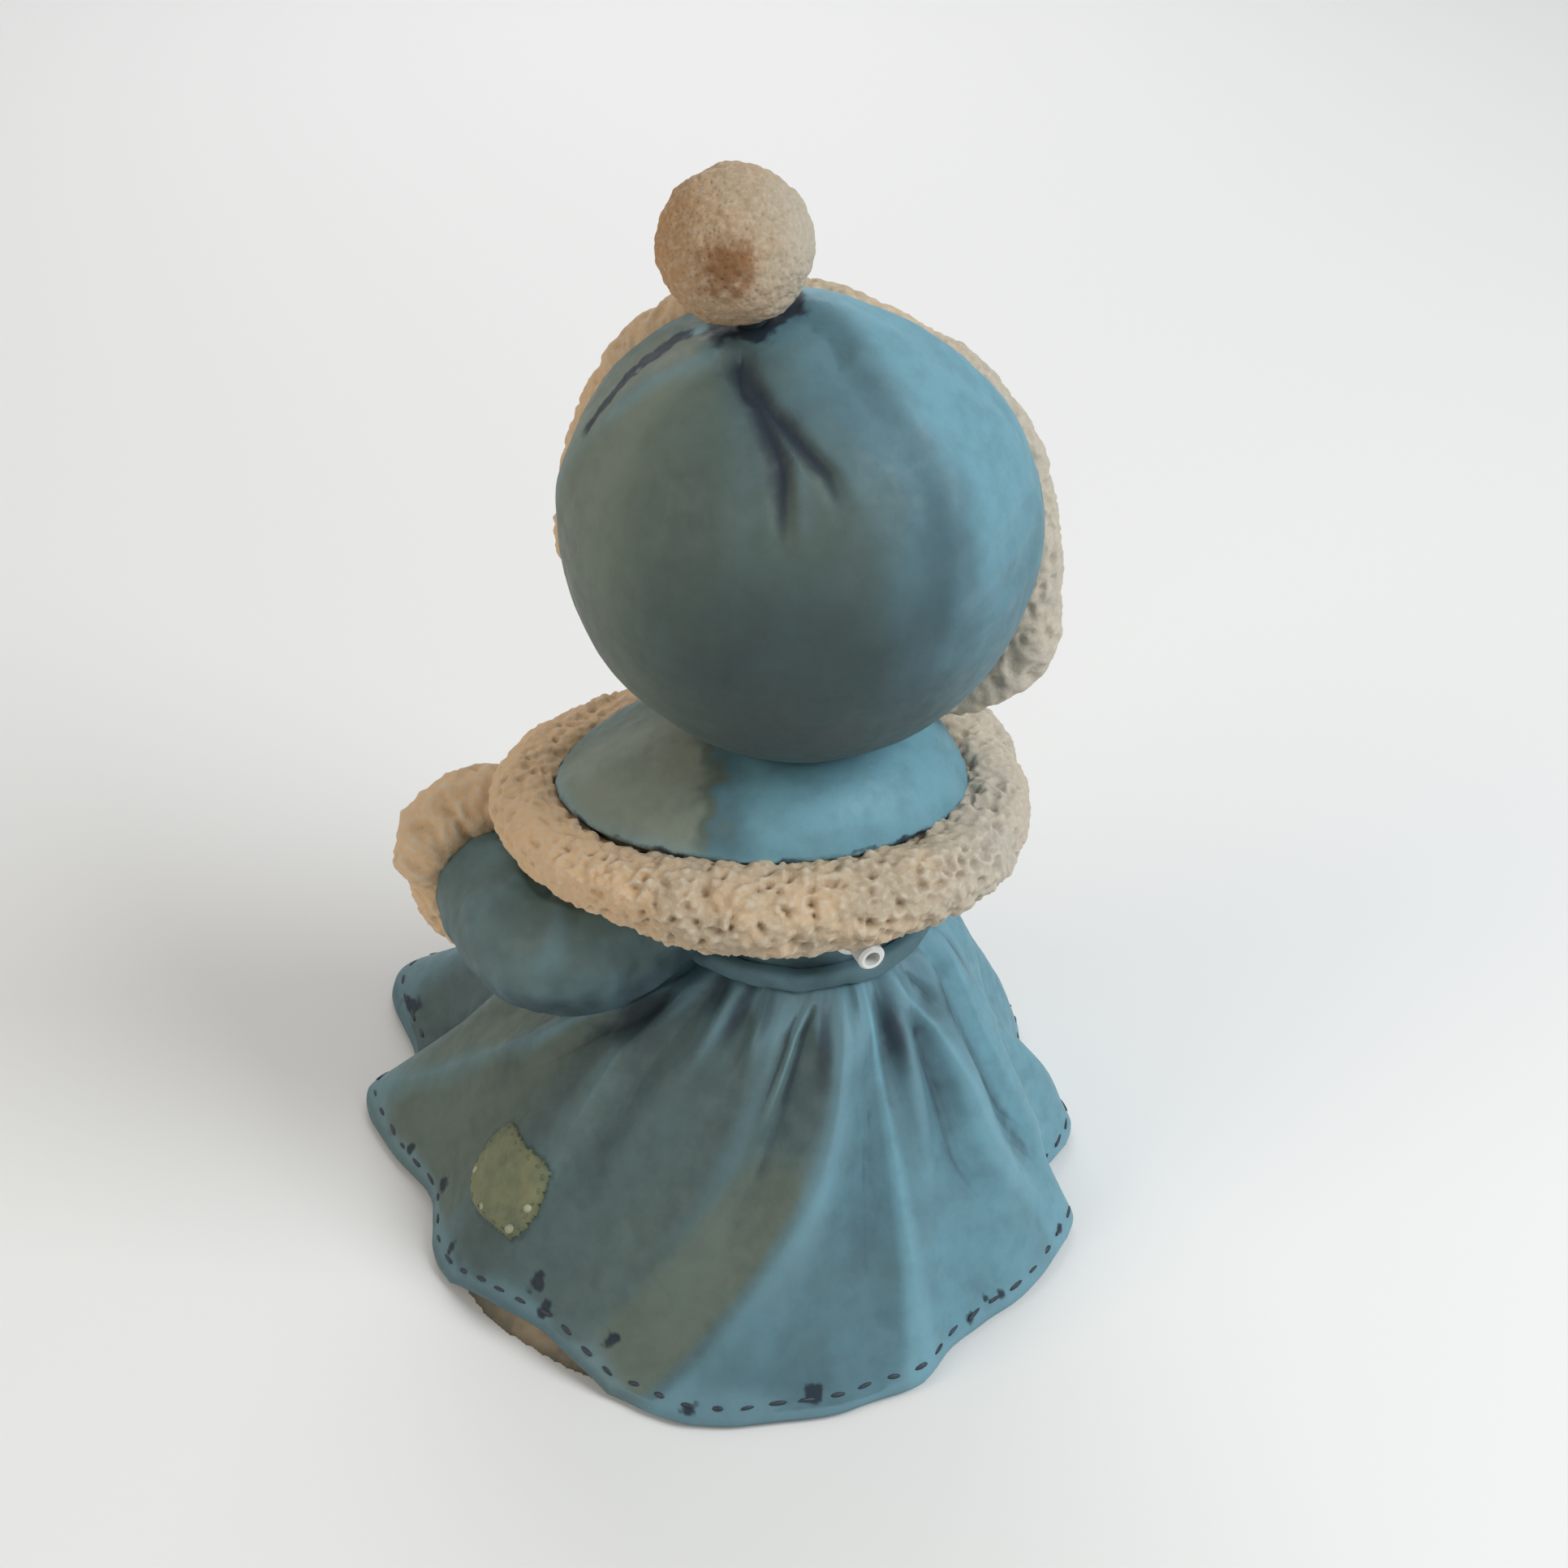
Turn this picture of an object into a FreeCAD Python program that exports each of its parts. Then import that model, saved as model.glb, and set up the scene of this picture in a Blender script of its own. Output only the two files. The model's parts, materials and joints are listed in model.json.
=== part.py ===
import FreeCAD, Part
import math
import os
from FreeCAD import Matrix, Placement, Rotation, Vector

# Bubbling ornament for an aquarium: a child in a hooded, fur-trimmed coat, seen as hollow
# painted resin castings that seat in each other.  Air enters at the stub under the cape, climbs
# a soft tube through the neck and the head, and leaves through the pompom, a ball air stone
# that pulls off its stem.
# Millimetres, +Z up.  The origin is the middle of the plinth's underside, the face looks to -Y.

# ---- driving dimensions ------------------------------------------------------------------
wall = 2.6                    # wall of the skirt and bodice castings
glue_gap = 0.15               # radial room between a spigot and its socket
waist_x = -12.0               # the body stands beside the middle of the swept skirt

plinth_height = 5.0
drain_radius = 2.5
drain_circle = 22.0
drain_count = 3

skirt_top = 48.0
hem_clearance = 1.0           # the hem hangs this far above the floor
skirt_waist_radius = 18.0
hem_radius = 53.0             # mean radius of the hem
gather_count = 22
gather_depth = 0.7
# angle round the hem in degrees from +X towards +Y, and the hem's radius there
hem_outline = [(17, 45.2), (35, 48.8), (58, 50.4), (111, 56.6), (134, 53.6), (153, 55.4),
               (162, 55.0), (169, 49.6), (184, 54.2), (196, 50.8), (212, 54.0), (226, 50.5),
               (242, 54.0), (257, 51.0), (271, 53.5), (287, 51.0), (305, 54.0), (325, 62.5),
               (341, 52.5), (349, 56.2)]
# folds that run down from the waist: angle at the waist, angle at the hem, half width, height
skirt_folds = [(20, 5, 12, 1.6), (42, 26, 12, 1.2), (62, 46, 12, 1.6), (86, 66, 12, 2.0),
               (109, 87, 13, 3.0), (129, 122, 9, 2.2), (148, 146, 10, 2.0), (170, 164, 10, 2.0),
               (192, 186, 11, 1.8), (216, 212, 12, 2.0), (240, 238, 11, 1.8), (266, 270, 12, 2.0),
               (292, 300, 12, 1.8), (318, 325, 12, 2.0), (342, 350, 11, 1.6)]
hem_lift_angle = 56.0         # where the hem is lifted off the floor
hem_lift_half_length = 17.5
hem_lift_height = 4.5
boot_opening_half_width = 20.0
boot_opening_height = 15.0

waistband_height = 3.2
waistband_reach = 2.4         # the band stands this far out of the bodice's foot

bodice_radius = 18.2
bodice_base_radius = 17.2
shoulder_z = 70.0
collar_radius = 9.0
collar_rise = 9.0             # from the shoulders to the collar's foot
collar_crown = 3.0            # of solid resin under the collar's foot
collar_reach = 3.7            # the collar stands this far up into the hood
neck_radius = 5.0
neck_depth = 6.0              # of the neck's socket in the collar

cape_wall = 1.6               # at the hem, square to its outline
cape_thickness = 5.0          # measured straight down, so that the neck sits on the shoulders
cape_tilt = 1.0               # at its hem, the cape rises towards the left by this many degrees
cape_pitch = 4.5              # and falls towards the front
# height, shift towards the left arm, half length along X, depth behind and in front of the
# neck, and the share of the tilt and pitch
cape_sections = [(81.2, 0.0, 12.5, 12.5, 12.5, 0.0), (78.6, 1.0, 18.5, 18.0, 16.5, 0.3),
                 (72.7, 3.7, 25.9, 22.3, 20.4, 0.7), (64.5, 6.0, 32.2, 25.8, 24.6, 1.0)]
cape_trim_radius = 5.9        # of the fur roll's section
cape_trim_inset = 0.4         # the roll's centre line lies this far inside the hem
cape_trim_rise = 1.2          # and this far above it

hood_z = 111.0
hood_radius = 30.7
hood_wall = 3.0
stem_lean_left = 11.3         # the pompom's stem leans this far towards the left
stem_lean_back = 4.3          # and this far backwards
hood_gathers = 9
hood_gather_depth = 0.8
# deep creases below the pompom: angle round the stem, lowest latitude, half width, depth
hood_creases = [(89, 26, 9, 1.6), (103, 28, 8, 1.3)]
hood_drape_angle = 205.0      # where the cloth hangs fuller over the right shoulder
hood_drape = 3.5
opening_turn = -6.0           # the hood's opening looks this far to its right
opening_pitch = 2.0           # and this far up
opening_distance = 3.4        # from the hood's middle to the plane of its rim
# angle round the opening from the left side through the top, and the fur's distance there
hood_trim_outline = [(0, 27.6), (20, 26.8), (40, 26.7), (60, 26.6), (85, 25.4), (108, 24.6),
                     (128, 25.2), (148, 25.2), (165, 26.4), (180, 27.6), (193, 29.8), (207, 33.0),
                     (218, 34.6), (230, 34.0), (245, 29.0), (262, 25.8), (280, 25.3), (298, 26.2),
                     (314, 28.8), (329, 31.4), (345, 29.9)]
hood_trim_section = 4.4
trim_seat = 0.05              # between a fur roll and the rim that it sits on

head_radius = 21.5
hair_thickness = 1.6
face_turn = -6.0              # the head looks this far to its right
face_half_width = 17.0
face_half_height = 19.0
face_drop = 4.5               # the face's oval lies this far below the head's middle
hair_length = 14.0            # the side locks end this far below the head's middle
nose_radius = 1.9

pompom_radius = 9.4
pompom_gap = 0.3              # at rest, between the pompom and its seat on the hood
pompom_distance = 40.2        # from the hood's middle
stem_radius = 1.9
stem_bore = 1.1
stem_fit = 0.05
stem_reach = 7.0              # how far the stem stands into the pompom
flange_radius = 3.2
flange_thickness = 1.2
flange_seat = 0.2             # below the hood's lining, which is curved over the flange

air_tube_wall = 0.8
air_tube_lap = 3.4            # how far the soft tube is pushed over each stub
inlet_z = 57.0
inlet_angle = 113.0           # round the body, from +X towards +Y
inlet_length = 6.5            # that stands out of the bodice
inlet_bend = 10.0             # radius of the tube's bend inside the bodice
inlet_room = 3.5              # radius kept free round the stub by the sleeves

cuff_ring_radius = 8.0
cuff_section = 4.2
# control points of the left and right sleeves' centre curves, from the waist, and their radii
# at the shoulder, the elbow and the cuff
left_arm = [(12, 3, 60), (27, 19, 50), (36.5, 20, 54), (43.5, -6, 48.9)]
right_arm = [(-8, 8, 58), (-20, 8, 56), (-25.5, -6, 54), (-21, -28, 49)]
left_sleeve_radii = (7.2, 9.8, 9.4)
right_sleeve_radii = (5.8, 6.3, 7.6)
# the mitten's sections: distance past the cuff's middle, half width, half thickness
mitten_sections = [(-2.0, 4.2, 4.0), (3.0, 5.2, 4.6), (8.0, 6.8, 5.2), (13.0, 6.6, 4.8),
                   (16.5, 4.6, 3.4), (18.0, 2.0, 1.5)]
thumb_sections = [(2.0, 1.6, 1.6), (6.0, 2.4, 2.2), (9.5, 2.0, 1.9), (11.0, 0.9, 0.9)]
thumb_spread = 32.0           # degrees between the thumb and the palm

patch_angle = 36.0
patch_drop = 0.66
patch_half_size = 5.3
# the patch's outline in shares of its half size: towards the figure's left side, and down
patch_corners = [(1.25, -1.15), (0.05, -1.2), (-1.15, -1.15), (-1.25, 0.0), (-1.2, 1.08),
                 (-0.12, 1.05), (0.92, 0.88), (1.12, -0.1)]
patch_thickness = 0.8

boot_length = 17.0
boot_half_width = 6.2
boot_spread = 7.5
boot_height = 9.0
boot_sole = 2.0
boot_welt = 0.4               # the sole stands this far out all round
boot_reach = 5.0              # how far the toes stand out past the hem


# ---- helpers -----------------------------------------------------------------------------
def body(x, y, z):
    """A point measured from the body's axis."""
    return Vector(waist_x + x, y, z)


def ring(points):
    """A smooth closed wire through points."""
    curve = Part.BSplineCurve()
    curve.interpolate(Points=points, PeriodicFlag=True)
    return Part.Wire([curve.toShape()])


def around(outline, angle):
    """The value of a closed outline at an angle, eased between its neighbours."""
    angle %= 360.0
    for index, (here, value) in enumerate(outline):
        after, following = outline[(index + 1) % len(outline)]
        span = (after - here) % 360.0
        step = (angle - here) % 360.0
        if step <= span:
            share = step / span
            return value + (following - value) * (1 - math.cos(math.pi * share)) / 2
    return outline[0][1]


def bump(distance, half_width):
    """1 at distance 0, falling smoothly to 0 at half_width."""
    if abs(distance) >= half_width:
        return 0.0
    return (1 + math.cos(math.pi * distance / half_width)) / 2


def turn_between(angle, other):
    """The signed angle from other to angle, in degrees."""
    return (angle - other + 180.0) % 360.0 - 180.0


def slab(low, high):
    """Everything near the object between two heights."""
    return Part.makeBox(240, 240, high - low, Vector(-120, -120, low))


def largest(shape):
    return max(shape.Solids, key=lambda solid: solid.Volume)


def ellipsoid(centre, half_sizes):
    """A ball stretched along X, Y and Z."""
    stretch = Matrix()
    stretch.scale(Vector(*half_sizes))
    ball = Part.makeSphere(1.0).transformGeometry(stretch)
    ball.translate(centre)
    return ball


def swept_roll(path, radius):
    """A round roll swept along a closed flat wire."""
    edge = path.Edges[0]
    circle = Part.Circle(edge.valueAt(edge.FirstParameter), edge.tangentAt(edge.FirstParameter), radius)
    return path.makePipeShell([Part.Wire([circle.toShape()])], True, False)


# ---- the coat's skirt ----------------------------------------------------------------------
def skirt_radius(angle, drop):
    """The skirt's radius at an angle, from drop 0 at the waist to 1 at the hem."""
    flare = skirt_waist_radius + (hem_radius - skirt_waist_radius) * drop ** 0.9
    lobes = (around(hem_outline, angle) - hem_radius) * drop ** 2.2
    gathers = gather_depth * math.cos(math.radians(gather_count * angle)) * (1 - drop) ** 3
    spread = drop ** 0.5 * (1 - 0.9 * drop) / 0.39
    folds = 0.0
    for at_waist, at_hem, half_width, height in skirt_folds:
        middle = at_waist + (at_hem - at_waist) * drop ** 1.3
        folds += height * bump(turn_between(angle, middle), half_width)
    return flare + lobes + gathers + folds * spread


def skirt_point(angle, drop, offset):
    radius = skirt_radius(angle, drop) + offset
    turn = math.radians(angle)
    middle = waist_x * (1 - drop)
    return Vector(middle + radius * math.cos(turn), radius * math.sin(turn), skirt_top * (1 - drop))


def skirt_form(offset, count=120):
    """The skirt's outer shape as one solid, grown by offset, down to the floor."""
    drops = [0.0, 0.07, 0.16, 0.28, 0.42, 0.57, 0.72, 0.87, 1.0]
    rings = [ring([skirt_point(360.0 * k / count, drop, offset) for k in range(count)])
             for drop in drops]
    return Part.makeLoft(rings, True, False)


def arch(angle, half_length, height, reach=(30.0, 80.0)):
    """A low arch through the hem: a lying cylinder that points outwards."""
    radius = (half_length ** 2 + height ** 2) / (2 * height)
    turn = math.radians(angle)
    outwards = Vector(math.cos(turn), math.sin(turn), 0)
    start = outwards * reach[0] + Vector(0, 0, height - radius)
    return Part.makeCylinder(radius, reach[1] - reach[0], start, outwards)


def boot_opening():
    opening = arch(270.0, boot_opening_half_width, boot_opening_height)
    opening.translate(Vector(waist_x / 2, 0, 0))
    return opening


def make_skirt(outer):
    shell = outer.cut(skirt_form(-wall))
    shell = shell.cut(slab(-10, hem_clearance))
    shell = shell.cut(arch(hem_lift_angle, hem_lift_half_length, hem_lift_height))
    return largest(shell.cut(boot_opening()))


def make_plinth():
    """The foot that closes the skirt, with a tongue under the boots and drain holes."""
    plinth = skirt_form(-wall - glue_gap)
    tongue = Part.makeCylinder(boot_spread + boot_half_width + 2, plinth_height,
                               boot_middle() + Vector(0, 0, -plinth_height))
    plinth = plinth.common(slab(0, plinth_height)).fuse(tongue)
    for k in range(drain_count):
        turn = math.radians(90 + 360.0 * k / drain_count)
        place = Vector(drain_circle * math.cos(turn), drain_circle * math.sin(turn), -1)
        plinth = plinth.cut(Part.makeCylinder(drain_radius, plinth_height + 2, place))
    return largest(plinth)


def make_patch(outer):
    """A sewn-on square that follows the cloth."""
    middle = skirt_point(patch_angle, patch_drop, 0)
    below = skirt_point(patch_angle, patch_drop + 0.1, 0)
    above = skirt_point(patch_angle, patch_drop - 0.1, 0)
    down = (below - above).normalize()
    beside = skirt_point(patch_angle + 6, patch_drop, 0) - skirt_point(patch_angle - 6, patch_drop, 0)
    outwards = beside.cross(down).normalize() * -1
    across = down.cross(outwards).normalize()
    outline = [middle - outwards * 5 + (across * x + down * y) * patch_half_size
               for x, y in patch_corners]
    prism = Part.Face(Part.makePolygon(outline + outline[:1])).extrude(outwards * 10)
    return largest(prism.common(skirt_form(patch_thickness).cut(outer)))


# ---- body, waistband, inlet ------------------------------------------------------------------
def spun(points, smooth):
    """Revolves a closed profile of (radius, height) about the body's axis.

    points is the closed outline; smooth lists the index pairs between which it is one curve."""
    edges = []
    index = 0
    while index < len(points):
        run_end = dict(smooth).get(index, index + 1)
        run = [body(r, 0, z) for r, z in
               (points[k % len(points)] for k in range(index, run_end + 1))]
        if len(run) > 2:
            curve = Part.BSplineCurve()
            curve.interpolate(Points=run)
            edges.append(curve.toShape())
        else:
            edges.append(Part.LineSegment(run[0], run[1]).toShape())
        index = run_end
    face = Part.Face(Part.Wire(edges))
    return face.revolve(body(0, 0, 0), Vector(0, 0, 1), 360)


def collar_top():
    return hood_z - hood_radius + collar_reach


def make_bodice_outer():
    spigot = skirt_waist_radius - wall - gather_depth - glue_gap
    return spun([(0, skirt_top - 6), (spigot, skirt_top - 6), (spigot, skirt_top),
                 (bodice_base_radius, skirt_top), (bodice_radius, skirt_top + 11),
                 (bodice_radius - 0.4, shoulder_z - 2), (bodice_radius - 4, shoulder_z + 5.5),
                 (collar_radius, shoulder_z + collar_rise), (collar_radius, collar_top()),
                 (0, collar_top())],
                [(3, 7)])


def make_bodice_inner():
    spigot = skirt_waist_radius - 2 * wall - gather_depth - glue_gap
    ceiling = shoulder_z + collar_rise - collar_crown
    return spun([(0, skirt_top - 7), (spigot, skirt_top - 7), (spigot, skirt_top),
                 (bodice_radius - wall, skirt_top + 11), (bodice_radius - wall - 0.4, shoulder_z - 3),
                 (collar_radius - wall, ceiling), (0, ceiling)], [(2, 5)])


def make_waistband(bodice_outer):
    inner = bodice_base_radius - 0.5
    half = waistband_height / 2
    profile = Part.makeCylinder(bodice_base_radius + waistband_reach, waistband_height,
                                body(0, 0, skirt_top))
    profile = profile.makeFillet(half * 0.8, [edge for edge in profile.Edges
                                              if isinstance(edge.Curve, Part.Circle)])
    band = profile.cut(Part.makeCylinder(inner, waistband_height, body(0, 0, skirt_top)))
    return largest(band.cut(bodice_outer))


def inlet_direction():
    turn = math.radians(inlet_angle)
    return Vector(math.cos(turn), math.sin(turn), 0)


def pompom_direction():
    return Vector(math.tan(math.radians(stem_lean_left)), math.tan(math.radians(stem_lean_back)),
                  1).normalize()


def hood_centre():
    return body(0, 0, hood_z)


def flange_bottom():
    """The stem's flange lies this far from the hood's middle, close under the lining."""
    return hood_radius - hood_wall - flange_seat - flange_thickness


def make_inlet(bodice_outer):
    """A plain air stub with a collar that seats on the bodice's outside."""
    out = inlet_direction()
    inner_end = inlet_bend + 1.0
    tip = bodice_radius + inlet_length
    start = body(0, 0, inlet_z) + out * inner_end
    stub = Part.makeCylinder(stem_radius, tip - inner_end, start, out)
    lip = max(stub.Edges, key=lambda edge: (edge.CenterOfMass - start).dot(out))
    stub = stub.makeChamfer(0.35, [lip])
    collar_start = body(0, 0, inlet_z) + out * (bodice_radius - 1.5)
    collar = Part.makeCylinder(flange_radius, 1.5 + flange_thickness, collar_start, out)
    collar = collar.cut(bodice_outer)
    bore = Part.makeCylinder(stem_bore, tip, body(0, 0, inlet_z) + out * (inner_end - 1), out)
    return stub.fuse(largest(collar)).cut(bore).removeSplitter()


def tube_route():
    """The soft tube's centre line: in from the stub, up through the neck, leaning in the hood."""
    out = inlet_direction()
    up = Vector(0, 0, 1)
    lean = pompom_direction()
    start = body(0, 0, inlet_z) + out * (inlet_bend + 1.0 + air_tube_lap)
    bend_in = body(0, 0, inlet_z) + out * inlet_bend
    bend_out = body(0, 0, inlet_z + inlet_bend)
    eighth = inlet_bend * math.sin(math.pi / 4)
    bend_middle = bend_out + out * (inlet_bend - eighth) - up * eighth
    lean_reach = 10.0
    lean_in = hood_centre() - up * lean_reach
    lean_out = hood_centre() + lean * lean_reach
    half_turn = up.getAngle(lean) / 2
    rise = lean_reach / math.tan(half_turn) * (1 - math.cos(half_turn))
    lean_middle = (lean_in + lean_out) * 0.5 - (lean - up).normalize() * rise
    end = hood_centre() + lean * (flange_bottom() - 0.05)
    return Part.Wire([Part.LineSegment(start, bend_in).toShape(),
                      Part.Arc(bend_in, bend_middle, bend_out).toShape(),
                      Part.LineSegment(bend_out, lean_in).toShape(),
                      Part.Arc(lean_in, lean_middle, lean_out).toShape(),
                      Part.LineSegment(lean_out, end).toShape()])


def sweep_tube(radius):
    route = tube_route()
    out = inlet_direction()
    section = Part.Wire([Part.Circle(route.OrderedVertexes[0].Point, out, radius).toShape()])
    return route.makePipeShell([section], True, True)


# ---- cape and its fur roll ----------------------------------------------------------------------
def cape_ring(section, inset, lowered):
    """An egg-shaped ring round the shoulders, tilted and pitched by its share."""
    height, shift, half_x, behind, in_front, share = section
    points = []
    for k in range(36):
        turn = math.radians(10 * k)
        depth = behind if math.sin(turn) > 0 else in_front
        points.append(Vector(shift + (half_x - inset) * math.cos(turn),
                             (depth - inset) * math.sin(turn), 0))
    lean = Rotation(Vector(0, 1, 0), -cape_tilt * share)
    lean = lean.multiply(Rotation(Vector(1, 0, 0), cape_pitch * share))
    place = body(0, 0, height - lowered)
    return ring([place + lean.multVec(point) for point in points])


def cape_form(inset, lowered):
    return Part.makeLoft([cape_ring(section, inset, lowered) for section in cape_sections], True, False)


def make_cape_trim():
    """The fur roll along the cape's hem."""
    centre_line = cape_ring(cape_sections[-1], cape_trim_inset, -cape_trim_rise)
    return swept_roll(centre_line, cape_trim_radius)


# ---- arms ------------------------------------------------------------------------------------
def along(points, share):
    """A point on the cubic curve that the four control points steer."""
    a, b, c, d = [Vector(*point) for point in points]
    rest = 1 - share
    return (a * rest ** 3 + b * (3 * rest ** 2 * share) + c * (3 * rest * share ** 2)
            + d * share ** 3)


def heading(points, share):
    step = 0.01
    return (along(points, share + step) - along(points, share - step)).normalize()


def sleeve_form(points, radii):
    """A soft sleeve, swept along the arm through circles of the given radii."""
    curve = Part.BezierCurve()
    curve.setPoles([Vector(*point) + Vector(waist_x, 0, 0) for point in points])
    path = curve.toShape()
    sections = [Part.Wire([Part.Circle(path.valueAt(share), path.tangentAt(share), radius).toShape()])
                for share, radius in zip((0.0, 0.5, 1.0), radii)]
    return Part.Wire([path]).makePipeShell(sections, True, False)


def cuff_roll(points):
    centre = along(points, 1.0) + Vector(waist_x, 0, 0)
    return Part.makeTorus(cuff_ring_radius, cuff_section, centre, heading(points, 1.0))


def lofted_finger(sections):
    """A finger or palm along +X, lofted through ellipses of half width Y and half thickness Z."""
    rings = []
    for ahead, half_width, half_thickness in sections:
        points = []
        for k in range(12):
            turn = math.radians(30 * k)
            points.append(Vector(ahead, half_width * math.cos(turn), half_thickness * math.sin(turn)))
        rings.append(ring(points))
    return Part.makeLoft(rings, True, False)


def make_mitten(points, thumb_side):
    """A mitten that points along the forearm, with its thumb towards the body."""
    palm = lofted_finger(mitten_sections)
    thumb = lofted_finger(thumb_sections)
    thumb.rotate(Vector(0, 0, 0), Vector(0, 0, 1), thumb_spread * thumb_side)
    hand = palm.fuse(thumb)
    ahead = heading(points, 1.0)
    side = Vector(0, 0, 1).cross(ahead).normalize()
    hand.Placement = Placement(along(points, 1.0) + Vector(waist_x, 0, 0),
                               Rotation(ahead, side, ahead.cross(side), "XYZ"))
    return hand


# ---- head, hair, hood --------------------------------------------------------------------------
def looking(turn, pitch):
    """A placement at the hood's middle: X to the left, Y up, Z the way it looks."""
    yaw = math.radians(turn)
    rise = math.radians(pitch)
    ahead = Vector(math.sin(yaw) * math.cos(rise), -math.cos(yaw) * math.cos(rise), math.sin(rise))
    left = Vector(math.cos(yaw), math.sin(yaw), 0)
    return Placement(hood_centre(), Rotation(left, ahead.cross(left), ahead, "ZXY"))


def placed(shape, placement):
    moved = shape.copy()
    moved.Placement = placement.multiply(moved.Placement)
    return moved


def make_head(tube_room):
    skull = Part.makeSphere(head_radius, hood_centre())
    neck_bottom = collar_top() - neck_depth
    neck = Part.makeCylinder(neck_radius, hood_z - neck_bottom, body(0, 0, neck_bottom))
    nose = Part.makeSphere(nose_radius, Vector(0, -face_drop, math.sqrt(
        head_radius ** 2 - face_drop ** 2)))
    nose = placed(nose, looking(face_turn, 0))
    return largest(skull.fuse([neck, nose]).cut(tube_room))


def make_hair():
    """The fringe and side locks: a thin cap with the face's oval cut out of it."""
    cap = Part.makeSphere(head_radius + hair_thickness).cut(Part.makeSphere(head_radius))
    behind = Part.makeBox(90, 90, 60, Vector(-45, -45, opening_distance + 0.5 - 60))
    chin = Part.makeBox(90, 60, 90, Vector(-45, -hair_length - 60, -45))
    middle = Vector(0, -face_drop, 0)
    oval = Part.Ellipse(middle + Vector(0, face_half_height, 0),
                        middle + Vector(face_half_width, 0, 0), middle)
    window = Part.Face(Part.Wire([oval.toShape()])).extrude(Vector(0, 0, 60))
    cap = cap.cut(behind).cut(chin).cut(window)
    return placed(cap, looking(face_turn, 0))


def hood_folds(angle, latitude):
    """How far the cloth stands out of the ball: gathers under the pompom and deep creases."""
    share = min(max((latitude - 20.0) / 55.0, 0.0), 1.0)
    gathers = hood_gather_depth * math.cos(math.radians(hood_gathers * angle)) * share ** 1.5
    creases = 0.0
    for middle, lowest, half_width, depth in hood_creases:
        down = min(max((latitude - lowest) / 25.0, 0.0), 1.0)
        creases += depth * bump(turn_between(angle, middle), half_width) * down * (1 - 0.4 * down)
    drape = bump(turn_between(angle, hood_drape_angle), 45) * bump(latitude + 32, 30)
    return gathers - creases + hood_drape * drape


def hood_form(offset, count=72):
    """The hood's outer shape as one solid about the pompom's stem, grown by offset."""
    rings = []
    for latitude in (-74, -55, -35, -15, 5, 22, 36, 50, 62, 72, 80):
        tilt = math.radians(latitude)
        points = []
        for k in range(count):
            angle = 360.0 * k / count
            turn = math.radians(angle)
            radius = (hood_radius + offset) * math.cos(tilt) + hood_folds(angle, latitude)
            points.append(Vector(radius * math.cos(turn), radius * math.sin(turn),
                                 (hood_radius + offset) * math.sin(tilt)))
        rings.append(ring(points))
    form = Part.makeLoft(rings, True, False)
    form.Placement = Placement(hood_centre(), Rotation(Vector(0, 0, 1), pompom_direction()))
    return form


def opening_side():
    """Everything in front of the hood's opening."""
    box = Part.makeBox(160, 160, 80, Vector(-80, -80, opening_distance))
    return placed(box, looking(opening_turn, opening_pitch))


def make_hood_trim():
    """The fur roll round the face, swept along its closed outline."""
    points = []
    for angle, distance in hood_trim_outline:
        turn = math.radians(angle)
        points.append(Vector(distance * math.cos(turn), distance * math.sin(turn),
                             opening_distance + hood_trim_section + trim_seat))
    return placed(swept_roll(ring(points), hood_trim_section), looking(opening_turn, opening_pitch))


# ---- pompom and its stem ------------------------------------------------------------------------
def pompom_centre():
    return hood_centre() + pompom_direction() * pompom_distance


def make_pompom():
    ball = Part.makeSphere(pompom_radius, pompom_centre())
    depth = stem_reach + 1.0
    mouth = pompom_centre() - pompom_direction() * (pompom_radius + 1)
    bore = Part.makeCylinder(stem_radius + stem_fit, depth + 1, mouth, pompom_direction())
    return ball.cut(bore)


def make_stem():
    """The outlet: a spigot in the soft tube, a flange inside the hood, a stub in the pompom."""
    up = pompom_direction()
    low = flange_bottom() - air_tube_lap
    top = pompom_distance - pompom_radius + stem_reach
    post = Part.makeCylinder(stem_radius, top - low, hood_centre() + up * low, up)
    flange = Part.makeCylinder(flange_radius, flange_thickness,
                               hood_centre() + up * flange_bottom(), up)
    bore = Part.makeCylinder(stem_bore, top - low + 2, hood_centre() + up * (low - 1), up)
    return post.fuse(flange).cut(bore).removeSplitter()


# ---- feet -----------------------------------------------------------------------------------------
def boot_middle():
    """The point between the boots' soles, on top of the plinth's tongue."""
    toe = skirt_point(270.0, 1.0, 0)
    return Vector(waist_x / 2, toe.y + boot_length / 2 - boot_reach, plinth_height)


def make_boot(side):
    """A round-toed boot that stands on the plinth and peeps out under the hem."""
    centre = boot_middle() + Vector(side * boot_spread, 0, boot_sole)
    upper = ellipsoid(centre, (boot_half_width, boot_length / 2, boot_height - boot_sole))
    upper = upper.common(slab(plinth_height + boot_sole, 60))
    sole = ellipsoid(centre, (boot_half_width + boot_welt, boot_length / 2 + boot_welt, boot_length))
    sole = sole.common(slab(plinth_height, plinth_height + boot_sole))
    return upper.fuse(sole).removeSplitter()


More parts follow.
